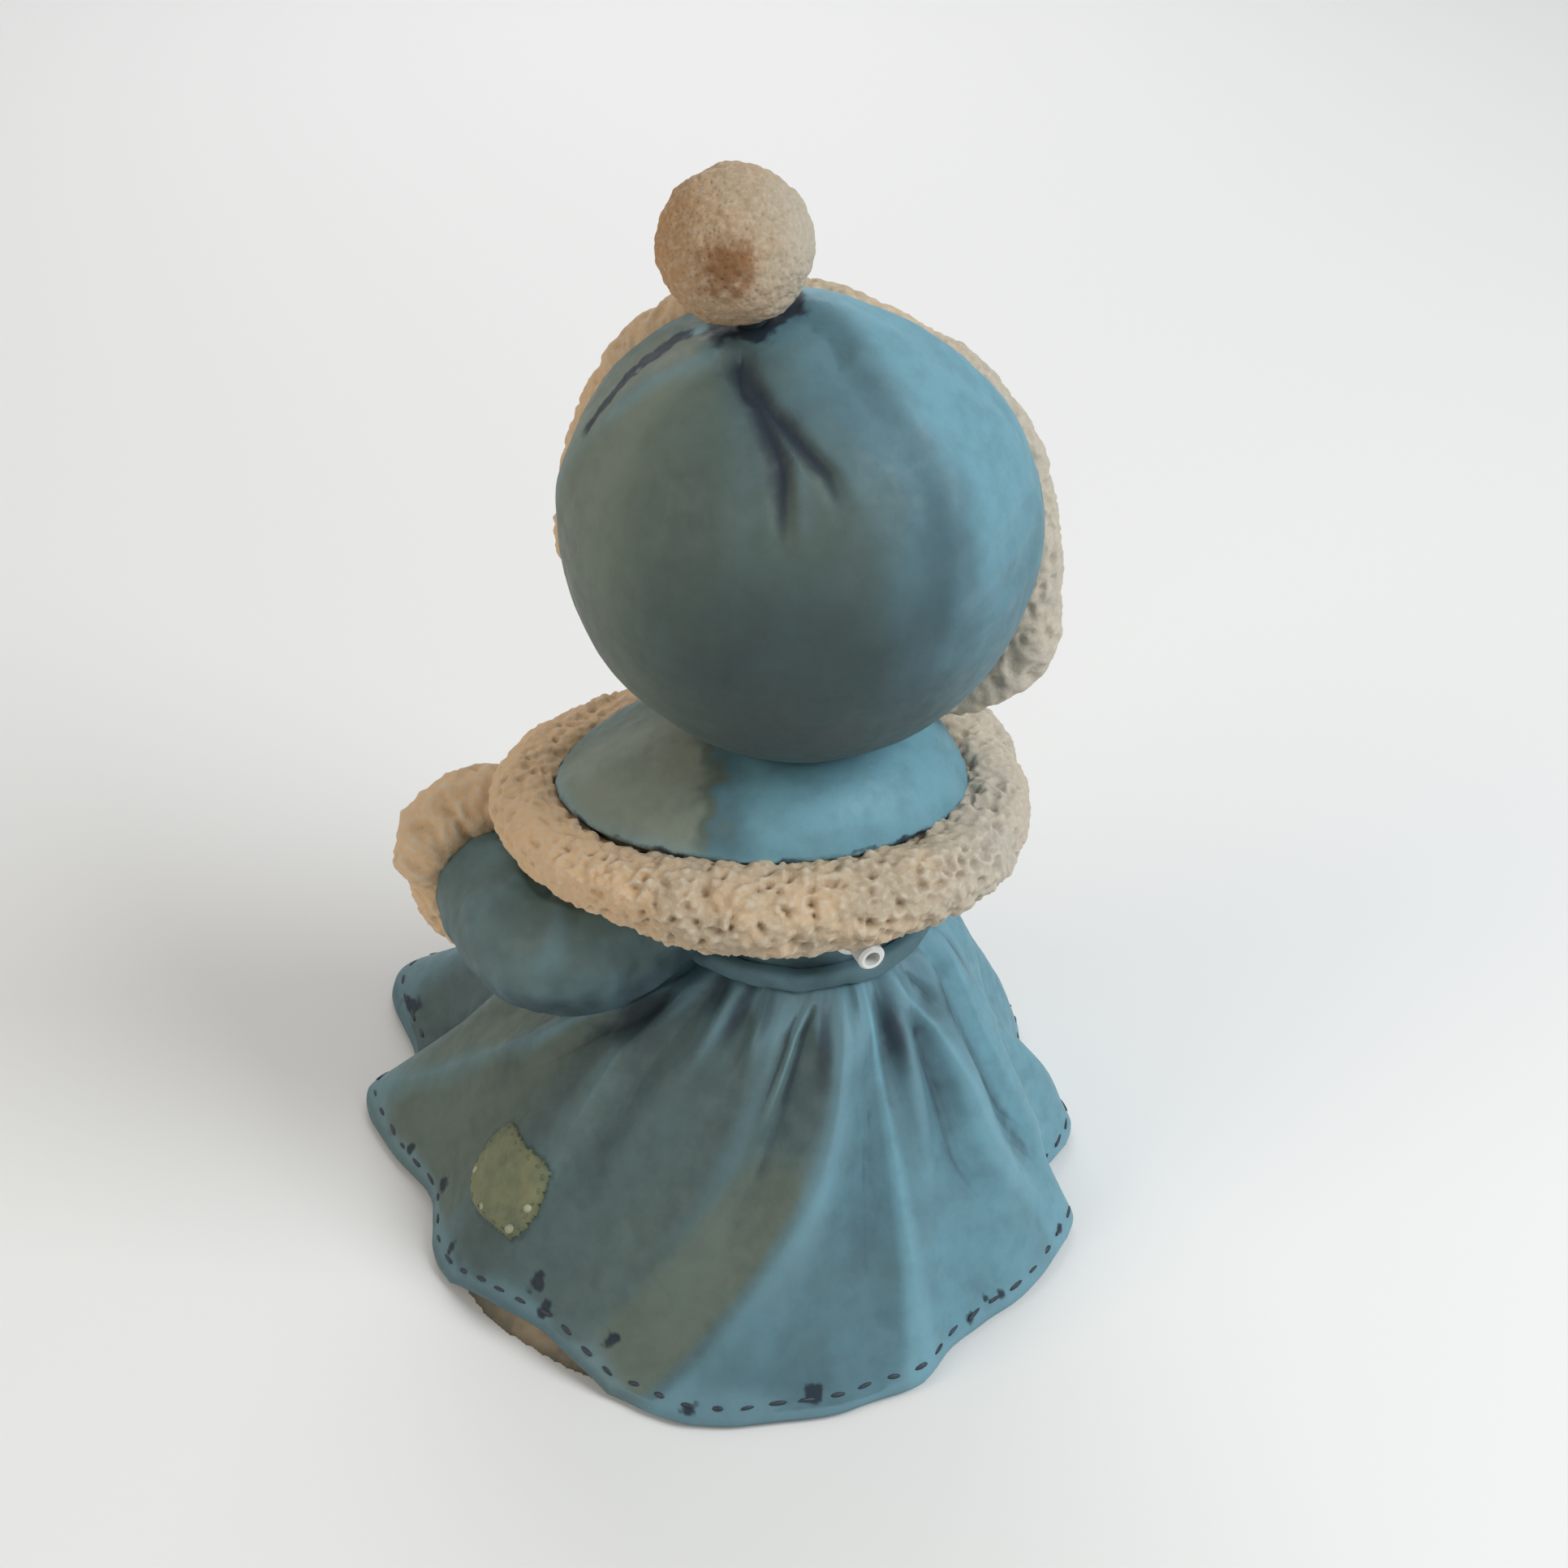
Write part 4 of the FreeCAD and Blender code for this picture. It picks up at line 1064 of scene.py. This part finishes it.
def hoodShape(points, normals):
    latitude, angle, reach = hoodPlaces(points)
    low, high = hoodPiece["outerSkin"]
    outside = smoothStep(low * mm, high * mm, reach)
    # the cast gathers are evened out near the stem, and folded anew
    total = evened(latitude, reach, outside) / mm * smoothStep(*hoodPiece["evened"], latitude)
    for line, before, after, height, end in hoodFolds:
        distance = hoodLineDistance(line, latitude, angle)
        fade = band(latitude, end - 5, end + 9, 76, 86)
        total += height * fade * softFold(distance, np.where(distance < 0, before, after))
    dents = np.zeros(len(points))
    for line, halfWidth, depth, end in hoodStrokes:
        fade = band(latitude, end - 6, end + 12, 74, 86)
        dent = softFold(hoodLineDistance(line, latitude, angle), halfWidth)
        dents = np.maximum(dents, depth * fade * dent)
    for middle, place, height in hoodRipples:
        away = np.hypot((latitude - middle) / hoodPiece["rippleTall"],
                        wrapDegrees(angle - place) / hoodPiece["rippleWide"])
        total += height * smoothStep(1, 0, away)
    return (total - dents + layeredNoise(points, 16, 4, 31) * hoodPiece["lumps"]) * outside


def hoodMarks(points, normals):
    latitude, angle, _ = hoodPlaces(points)
    # painted shadow under the pompom, and darker in the groove and along the seam against the fur
    nearPompom = distanceTo(points, pomCentre)
    stainAndShadow = smoothStep(12.4, 10.6, nearPompom + layeredNoise(points, 2.2, 3, 41) * 0.9)
    groove = np.abs(hoodLineDistance(hoodGroove, latitude, angle))
    groove += layeredNoise(points, 1.6, 3, 43) * 1.3
    stainAndShadow = np.maximum(stainAndShadow, smoothStep(3.4, 1.2, groove) * band(latitude, 38, 46, 72, 80))
    seam = gapTo(cadTree("hood_fur_trim"), points, 3.0)
    seam += layeredNoise(points, 1.5, 3, 45) * 0.4
    stainAndShadow = np.maximum(stainAndShadow, 0.8 * smoothStep(1.0, 0.3, seam))
    shade = np.zeros(len(points))
    for line, halfWidth, _, end in hoodStrokes:
        fade = band(latitude, end - 4, end + 10, 80, 88)
        distance = np.abs(hoodLineDistance(line, latitude, angle)) / halfWidth
        core = 0.45 * smoothStep(0.9, 0.1, distance) * smoothStep(78, 70, latitude)
        wide = 0.55 * smoothStep(2.6, 0, distance) * smoothStep(end + 2, end + 22, latitude)
        shade = np.maximum(shade, fade * (core + wide))
    # painted light right of the main fold, on the left plane and along the ridge, painted shade low
    # down, and an olive tint with painted warm shade away from the lit plane
    off = hoodLineDistance(mainHoodCrest, latitude, angle) + layeredNoise(points, 9, 3, 47) * 2.5
    fade = smoothStep(-120, -60, wrapDegrees(angle - 90))
    right = smoothStep(-8, 8, off) * fade
    near = smoothStep(-34, -2, off) * fade
    leftPlane = band(angle, -40, 0, 30, 76)
    ridge = softFold(hoodLineDistance(hoodFolds[1][0], latitude, angle), 5)
    tone = hoodPaintedLight["all"] + hoodPaintedLight["near"] * near + hoodPaintedLight["right"] * right
    tone += hoodPaintedLight["rightUpper"] * right * smoothStep(-20, 24, latitude)
    tone += hoodPaintedLight["low"] * smoothStep(40, -5, latitude) * (1 - 0.80 * right)
    tone += hoodPaintedLight["left"] * leftPlane
    tone += hoodPaintedLight["ridge"] * ridge * smoothStep(40, 56, latitude)
    tone = np.clip(tone, hoodPaintedLight["darkest"], hoodPaintedLight["lightest"])
    earthAndPaintedLight = hoodEarthAndPaintedLight["back"] * (1 - near) + hoodEarthAndPaintedLight["left"] * leftPlane
    return {"stainAndShadow": stainAndShadow, "shade": shade, "tone": tone, "earthAndPaintedLight": earthAndPaintedLight}


addSculpted("hood", "hoodCloth", 0.46, cloth, hoodShape, hoodMarks)


# the fur is stippled clay: soft craters with ragged rims, over small lumps
furPiece = {
    "wander": 0.42, "wanderSize": 1.9, "craterWander": 1.6,
    "lump": 1.7, "lumpDepth": 0.70,
    "crater": 2.5, "craterDepth": 0.95,
    "rim": 0.9, "rimHeight": 0.26,
    "large": 4.2, "largeHeight": 0.45,
    "proud": 0.42,
    "onHood": 0.60, "onCuffs": 0.75,     # shares of that relief there
    "leftCuffSwell": 4.2, "rightCuffSwell": 0.5,
}
capeFurHole = Vector((18.9, 22.8, 74.5)) * mm        # one deep brown hole, as an old glue spot


def furShape(points, normals):
    size = furPiece["wanderSize"]
    wander = np.stack([softNoise(points, size, seed) for seed in (3, 4, 5)], axis=1)
    wander *= furPiece["wander"] * mm
    lumps = grainNoise(points + wander, furPiece["lump"], 7)
    craters = grainNoise(points + wander * furPiece["craterWander"], furPiece["crater"], 19)
    rims = layeredNoise(points, furPiece["rim"], 2, 23)
    large = layeredNoise(points, furPiece["large"], 3, 9)
    depth = furPiece["lumpDepth"] * lumps ** 1.5
    depth += furPiece["craterDepth"] * smoothStep(0.48, 0.12, craters)
    height = rims * furPiece["rimHeight"] + large * furPiece["largeHeight"] + furPiece["proud"]
    return height - depth


def facingShare(normals, direction):
    # 1 where a surface faces a direction, easing to 0 at its side
    unit = np.array(Vector(direction).normalized())
    return smoothStep(0.0, 0.85, normals @ unit)


def capeFurShape(points, normals):
    # the ends are rubbed smoother, one hole goes deep, and the left end is thinner
    left = leftOf(points)
    rubbed = 1 - 0.50 * smoothStep(24, 36, np.abs(left))
    away = distanceTo(points, capeFurHole)
    hole = 1.1 * smoothStep(1.7, 0.4, away)
    thinner = 1.0 * smoothStep(16, 30, left) * facingShare(normals, (0.5, -0.5, 0.8))
    tucked = 2.0 * smoothStep(12, 26, left) * facingShare(normals, (0.35, 0.6, -0.7))
    return furShape(points, normals) * rubbed - hole - tucked - thinner


def hoodFurShape(points, normals):
    # fuller on the left of the crown and at the right jaw, thin over the right of the crown
    latitude, _, _ = hoodPlaces(points)
    side = leftOf(points)
    crown = band(latitude, 38, 48, 70, 82)
    fuller = 1.2 * crown * smoothStep(4, 14, side) * facingShare(normals, (0.1, 0.9, 0.4))
    thinner = 1.2 * smoothStep(20, 40, latitude) * smoothStep(-4, -16, side)
    jaw = smoothStep(98, 86, points[:, 2] / mm) * smoothStep(-12, -20, side)
    swell = 2.8 * facingShare(normals, (-0.5, 0.1, -0.75))
    swell += 2.6 * facingShare(normals, (0.5, -0.1, 0.8))
    return furShape(points, normals) * furPiece["onHood"] + fuller - thinner + jaw * swell


def cuffFurShape(points, normals):
    # the left cuff's fur swells up towards the cape's
    middle = points.mean(axis=0)
    up = (points[:, 2] - middle[2]) / mm
    height = furPiece["leftCuffSwell" if middle[0] > waist.x else "rightCuffSwell"]
    swell = height * smoothStep(0, 4, up) * facingShare(normals, (0.15, 0.1, 1.0))
    return furShape(points, normals) * furPiece["onCuffs"] + swell


def furMarks(points, normals):
    # painted light: greyer towards the figure's right, sandier towards its left
    return {"tone": -0.030 * leftOf(points)}


def capeFurMarks(points, normals):
    away = distanceTo(points, capeFurHole)
    side = leftOf(points)
    # painted light: greyer towards the figure's right, sandier towards its left
    tone = 0.9 * (smoothStep(-8, -28, side) - smoothStep(10, 30, side))
    stainAndShadow = smoothStep(1.9, 0.7, away + layeredNoise(points, 0.8, 2, 61) * 0.35)
    return {"tone": tone, "stainAndShadow": stainAndShadow}


for node, name, voxel, shape, marks in (
        ("cape_fur_trim", "capeFur", 0.36, capeFurShape, capeFurMarks),
        ("hood_fur_trim", "hoodFur", 0.36, hoodFurShape, furMarks),
        ("left_cuff", "leftCuffFur", 0.32, cuffFurShape, furMarks),
        ("right_cuff", "rightCuffFur", 0.32, cuffFurShape, furMarks)):
    addSculpted(node, name, voxel, fur, shape, marks, fine=8)
print("fur made")


# the air stone: coarse grains, with rust low on the back
pompomPiece = {
    "outerSkin": (8.2, 9.0),             # the bore, nearer the middle than this, stays smooth
    "grain": 1.3, "grainDepth": 0.34,
    "pit": 0.55, "pitDepth": 0.20,
    "lump": 3.2, "lumpHeight": 0.24,
    "proud": 0.14,
    "rustPlace": (0.9, 8.4, 1.0), "rustReach": (5.2, 6.0, 5.0), "rust": 0.88,
}


def pompomShape(points, normals):
    outside = smoothStep(*pompomPiece["outerSkin"], distanceTo(points, pomCentre))
    grains = grainNoise(points, pompomPiece["grain"], 13)
    pits = grainNoise(points, pompomPiece["pit"], 17)
    large = layeredNoise(points, pompomPiece["lump"], 3, 15)
    depth = pompomPiece["grainDepth"] * grains ** 1.4
    depth += pompomPiece["pitDepth"] * smoothStep(0.4, 0.05, pits)
    return (large * pompomPiece["lumpHeight"] + pompomPiece["proud"] - depth) * outside


def pompomMarks(points, normals):
    away = (points - np.array(pomCentre)) / mm - np.array(pompomPiece["rustPlace"])
    reach = np.linalg.norm(away / np.array(pompomPiece["rustReach"]), axis=1)
    rust = smoothStep(1.15, 0.10, reach + layeredNoise(points, 1.5, 3, 71) * 0.30)
    # painted light: greyer towards the figure's right, sandier towards its left
    side = (points[:, 0] - pomCentre.x) / mm
    return {"stainAndShadow": pompomPiece["rust"] * rust, "tone": -0.11 * side}


addSculpted("pompom_air_stone", "pompomStone", 0.17, stone, pompomShape, pompomMarks,
            body="pompom", fine=5)
print("pompom made")


# folds of the cape, by angle about the neck: half width, height
capeFolds = [(52, 20, 0.35), (98, 16, 0.3), (138, 9, 0.7), (160, 12, 0.5),
             (10, 16, 0.4), (200, 12, 0.5), (240, 12, 0.5), (300, 12, 0.5), (335, 12, 0.5)]


def capeShape(points, normals):
    # folds that grow away from the neck, on the upper side alone
    angle = np.degrees(np.arctan2(points[:, 1], points[:, 0] - waist.x))
    reach = np.hypot(points[:, 0] - waist.x, points[:, 1]) / mm
    outside = smoothStep(0.2, 0.5, normals[:, 2])
    ridges = np.zeros(len(points))
    for middle, halfWidth, height in capeFolds:
        ridges += height * softFold(wrapDegrees(angle - middle), halfWidth)
    lumps = layeredNoise(points, 9, 4, 81) * 0.16
    return (ridges * smoothStep(13, 24, reach) + lumps) * outside


def capeMarks(points, normals):
    side = leftOf(points)
    seam = gapTo(cadTree("cape_fur_trim"), points, 3.0)
    patchy = smoothStep(-0.1, 0.5, layeredNoise(points, 5, 2, 89))
    wander = layeredNoise(points, 1.5, 3, 83) * 0.35
    stainAndShadow = (0.30 + 0.6 * patchy) * smoothStep(0.9, 0.25, seam + wander)
    # painted shade under the hood
    under = gapTo(cadTree("hood"), points, 6.0) + layeredNoise(points, 3, 3, 85) * 0.8
    edge = side + layeredNoise(points, 4, 3, 87) * 2.0
    back = smoothStep(-16, 4, points[:, 1] / mm)
    dull = smoothStep(9, 15, edge) * back
    shade = 0.75 * smoothStep(4.2, 1.4, under) * smoothStep(8, 16, side)
    # painted light on the back: lighter towards the right, an olive tint with a paler painted-light
    # olive towards the left, and a little of both evenly on the front
    tone = 0.05 * dull + 0.75 * smoothStep(13, 4, edge) * back + 0.15 * (1 - back)
    return {"stainAndShadow": stainAndShadow, "shade": shade, "tone": tone, "earthAndPaintedLight": 1.85 * dull + 0.20 * (1 - back)}


def sleeveShape(points, normals):
    waves = layeredNoise(points * np.array([1.0, 1.0, 0.55]), 8, 3, 91)
    return waves * 0.55 + layeredNoise(points, 4, 3, 93) * 0.10


def sleeveMarks(points, normals):
    # painted light on the right sleeve; painted shade on the left one, lighter on its upper side,
    # with an olive tint
    side = leftOf(points)
    left = smoothStep(0, 4, side)
    upper = smoothStep(-0.1, 0.7, normals @ np.array((0.35, 0.35, 0.87)))
    return {"tone": 0.25 - 1.15 * left + 1.0 * left * upper,
            "earthAndPaintedLight": left * (0.30 + 0.3 * upper)}


def waistShape(points, normals):
    return layeredNoise(points, 6, 3, 97) * 0.30


def waistMarks(points, normals):
    # painted shade all round the waist, with a little olive tint
    return {"tone": np.full(len(points), -0.60), "earthAndPaintedLight": np.full(len(points), 0.25)}


addSculpted("cape", "capeCloth", 0.40, cloth, capeShape, capeMarks)
addSculpted("bodice", "bodiceCloth", 0.55, cloth, waistShape, waistMarks)
addSculpted("waistband", "waistCloth", 0.30, cloth, waistShape, waistMarks)
for side in ("left", "right"):
    addSculpted(side + "_sleeve", side + "SleeveCloth", 0.42, cloth,
                sleeveShape, sleeveMarks)
print("cloth made")


# a plain doll's face; places are millimetres across, up and ahead of the head's middle
facePiece = {
    "eyeAcross": 7.0, "eyeUp": 0.2, "eyeRadius": 2.7,
    "browUp": 4.9, "browHalf": 3.0,
    "mouthUp": -10.4, "mouthHalf": 3.6,
    "cheekAcross": 10.2, "cheekUp": -6.6,
    "front": (8, 14),        # the face's relief fades in between these, ahead of the middle
}
# mounds on the face, the same on both sides: across, up, half width, half height, height
faceMounds = [
    (facePiece["cheekAcross"] - 1.5, facePiece["cheekUp"], 4.8, 4.2, 1.0),
    (facePiece["eyeAcross"], facePiece["eyeUp"], 3.4, 2.8, -1.1),        # eye sockets
    (facePiece["eyeAcross"], facePiece["browUp"] - 0.6, 4.6, 1.3, 0.6),
    (0.0, -15.8, 4.2, 2.6, 0.9),         # chin
    (0.0, -1.0, 1.6, 3.6, 0.7),          # bridge of the nose
    (1.7, -5.2, 0.9, 0.9, 0.35),         # sides of the nose
]
faceTurn = math.radians(-6)
faceLeft = np.array([math.cos(faceTurn), math.sin(faceTurn), 0.0])
faceAhead = np.array([math.sin(faceTurn), -math.cos(faceTurn), 0.0])
faceUp = np.array([0.0, 0.0, 1.0])
headRadius = 21.5


def facePlaces(points):
    away = (points - np.array(hoodCentre)) / mm
    return away @ faceLeft, away @ faceUp, away @ faceAhead


def facePoint(across, up, ahead):
    # from the face's own millimetres to the frame
    return Vector(np.array(hoodCentre) + (faceLeft * across + faceUp * up + faceAhead * ahead) * mm)


def onFace(across, up, lift=0.0):
    reach = headRadius + lift
    return math.sqrt(max(reach ** 2 - across ** 2 - up ** 2, 0))


def mound(across, up, wide, tall):
    return np.exp(-(across / wide) ** 2 - (up / tall) ** 2)


def mouthLine(across):
    # a calm, barely raised smile
    return facePiece["mouthUp"] + 0.9 * (across / facePiece["mouthHalf"]) ** 2


def headShape(points, normals):
    across, up, ahead = facePlaces(points)
    side = np.abs(across)
    total = np.zeros(len(points))
    for moundAcross, moundUp, wide, tall, height in faceMounds:
        total += height * mound(side - moundAcross, up - moundUp, wide, tall)
    # two lips with a seam between them
    aboveMouth = up - mouthLine(across)
    total += 0.55 * mound(across, aboveMouth - 0.75, 2.9, 0.75)
    total += 0.65 * mound(across, aboveMouth + 0.95, 2.5, 0.85)
    half = facePiece["mouthHalf"]
    total -= 0.65 * crest(aboveMouth, 0.55, 0.8) * smoothStep(half + 0.4, half - 0.8, side)
    return total * smoothStep(*facePiece["front"], ahead)


def headMarks(points, normals):
    across, up, ahead = facePlaces(points)
    side = np.abs(across)
    front = smoothStep(*facePiece["front"], ahead)
    blush = mound(side - facePiece["cheekAcross"], up - facePiece["cheekUp"], 4.4, 3.6)
    blush = np.maximum(blush, 0.55 * mound(across, up + 4.5, 2.4, 2.2))
    lips = smoothStep(2.0, 1.1, np.abs(up - mouthLine(across) + 0.1) + 0.25 * side)
    return {"tone": blush * front, "lips": lips * front}


def strandShape(points, normals):
    # locks that fall from the crown to the brow and the jaw
    across, _, ahead = facePlaces(points)
    around = np.degrees(np.arctan2(across, ahead))
    bend = softNoise(points, 9, 101) * 5 + softNoise(points, 4, 103) * 2
    locks = np.abs(np.sin(np.radians((around + bend) * 7.5)))
    strands = np.sin(np.radians((around + bend * 1.4) * 34))
    return locks * 0.75 + strands * 0.20 + 0.10


def mittenShape(points, normals):
    # courses of knitting round the hand
    courses = np.abs(np.sin(points[:, 2] / mm * 1.9 + softNoise(points, 5, 115) * 0.8))
    lumps = layeredNoise(points, 5, 3, 111) * 0.22 + layeredNoise(points, 1.3, 2, 113) * 0.10
    return courses * 0.34 + lumps


def bootShape(points, normals):
    # creases across the instep
    waves = np.sin(points[:, 1] / mm * 1.5 + softNoise(points, 5, 121) * 1.6)
    upper = smoothStep(5.2, 6.4, points[:, 2] / mm)
    return waves * 0.09 * upper + layeredNoise(points, 4, 3, 123) * 0.12


def bootMarks(points, normals):
    # a darker sole
    return {"tone": smoothStep(5.6, 5.0, points[:, 2] / mm)}


def plinthMarks(points, normals):
    # darker towards the floor
    return {"tone": 0.6 * smoothStep(2.0, 0.3, points[:, 2] / mm)}


addSculpted("head", "headSkin", 0.40, skinPaint, headShape, headMarks)
addSculpted("hair", "hairLocks", 0.30, hairPaint, strandShape)
for side in ("left", "right"):
    addSculpted(side + "_mitten", side + "Mitten", 0.35, mittenPaint, mittenShape)
    addSculpted(side + "_boot", side + "Boot", 0.35, bootPaint,
                bootShape, bootMarks)
addSculpted("plinth", "plinthBase", 0.60, basePaint, None, plinthMarks)


def addBall(name, middle, sizes, material, segments=28):
    # a closed egg in the face's own directions
    work = bmesh.new()
    bmesh.ops.create_uvsphere(work, u_segments=segments, v_segments=segments * 2 // 3, radius=1.0)
    for vertex in work.verts:
        across, up, ahead = (part * size for part, size in zip(vertex.co, sizes))
        vertex.co = middle + Vector(faceLeft * across + faceUp * up + faceAhead * ahead) * mm
    bmesh.ops.recalc_face_normals(work, faces=work.faces)
    mesh = bpy.data.meshes.new(name)
    work.to_mesh(mesh)
    work.free()
    piece = makeObject(name, mesh, material)
    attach(piece, "figure")
    return piece


def addBrow(name, sign):
    # a soft tapered arch, half sunk in the brow
    path, rings = 14, 8
    points, faces = [], []
    for step in range(path + 1):
        share = step / path * 2 - 1
        across = sign * facePiece["eyeAcross"] + sign * share * facePiece["browHalf"]
        up = facePiece["browUp"] - 0.75 * share * share - 0.25 * share
        ahead = onFace(across, up, 0.45)
        thick = 0.50 * math.sqrt(max(1 - share * share * 0.92, 0.02))
        for ring in range(rings):
            turn = 2 * math.pi * ring / rings
            points.append(facePoint(across, up + thick * math.cos(turn),
                                    ahead + thick * 0.6 * math.sin(turn)))
    for step in range(path):
        for ring in range(rings):
            corner, beside = step * rings + ring, step * rings + (ring + 1) % rings
            faces.append((corner, beside, beside + rings, corner + rings))
    faces.append(tuple(range(rings)))
    faces.append(tuple(path * rings + ring for ring in range(rings)))
    mesh = meshFrom(name, points, faces)
    facesOutwards(mesh)
    piece = makeObject(name, mesh, hairPaint)
    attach(piece, "figure")


for side, sign in (("left", 1), ("right", -1)):
    across, up = sign * facePiece["eyeAcross"], facePiece["eyeUp"]
    ahead = onFace(across, up) - 2.6
    wide, tall = facePiece["eyeRadius"], facePiece["eyeRadius"] * 0.86
    addBall(side + "Eye", facePoint(across, up, ahead), (wide, tall, 2.5), eyeWhitePaint)
    addBall(side + "Iris", facePoint(across, up, ahead + 1.05), (1.55, 1.55, 1.62), irisPaint)
    addBall(side + "Pupil", facePoint(across, up, ahead + 1.75), (0.82, 0.82, 1.02), pupilPaint)
    addBrow(side + "Brow", sign)
print("face and feet made")

# the fittings are seen as they are built
for node, paint in (("outlet_stem", stemPaint), ("air_inlet_stub", fittingPlastic),
                    ("air_tube", softTube)):
    mesh = frame["nodes"][node].data
    mesh.materials.clear()
    mesh.materials.append(paint)


def makeFloor():
    mesh = meshFrom("floor", [(-3, -3, 0), (3, -3, 0), (3, 3, 0), (-3, 3, 0)], [(0, 1, 2, 3)])
    material, _, shader = newMaterial("paleFloor")
    shader.inputs["Base Color"].default_value = (0.80, 0.80, 0.79, 1)
    shader.inputs["Roughness"].default_value = 0.8
    floor = makeObject("floor", mesh, material)


def addLamp(name, place, size, power, colour):
    data = bpy.data.lights.new(name, "AREA")
    data.shape = "DISK"
    data.size = size
    data.energy = power
    data.color = colour
    lamp = bpy.data.objects.new(name, data)
    scene.collection.objects.link(lamp)
    lamp.location = place
    aim = Vector((0, 0, 0.075)) - Vector(place)
    lamp.rotation_euler = aim.to_track_quat("-Z", "Y").to_euler()


def addCamera():
    data = bpy.data.cameras.new("camera")
    data.lens = 60
    data.sensor_width = 36
    data.clip_start = 0.01
    camera = bpy.data.objects.new("camera", data)
    scene.collection.objects.link(camera)
    eye, aim = Vector((-0.0099, 0.286, 0.284)), Vector((-0.0099, 0, 0.069))
    camera.location = eye
    camera.rotation_euler = (aim - eye).to_track_quat("-Z", "Y").to_euler()
    scene.camera = camera


makeFloor()
addLamp("windowLamp", (-0.55, 0.25, 0.60), 0.45, 5.0, (0.94, 0.98, 1.0))
addLamp("roomLamp", (0.60, 0.35, 0.45), 0.50, 1.8, (1.0, 0.88, 0.72))
addLamp("backLamp", (0.05, -0.60, 0.45), 0.50, 1.6, (1.0, 1.0, 1.0))


def makeWorld(colour, strength, seenStrength):
    # a soft even light, which the camera and the shine see as a pale surround
    world = bpy.data.worlds.new("studio")
    scene.world = world
    world.use_nodes = True
    tree = world.node_tree
    light = tree.nodes["Background"]
    seen = addNode(tree, "ShaderNodeBackground")
    for background, level in ((light, strength), (seen, seenStrength)):
        background.inputs["Color"].default_value = colour
        background.inputs["Strength"].default_value = level
    rays = addNode(tree, "ShaderNodeLightPath")
    shown = combine(tree, "MAXIMUM", rays.outputs["Is Camera Ray"], rays.outputs["Is Glossy Ray"])
    shown = combine(tree, "MAXIMUM", shown, rays.outputs["Is Transmission Ray"])
    mixed = addNode(tree, "ShaderNodeMixShader")
    tree.links.new(shown, mixed.inputs["Fac"])
    tree.links.new(light.outputs["Background"], mixed.inputs[1])
    tree.links.new(seen.outputs["Background"], mixed.inputs[2])
    tree.links.new(mixed.outputs["Shader"], tree.nodes["World Output"].inputs["Surface"])


makeWorld((0.86, 0.88, 0.90, 1), 0.36, 0.92)
scene.view_settings.view_transform = "Standard"
addCamera()
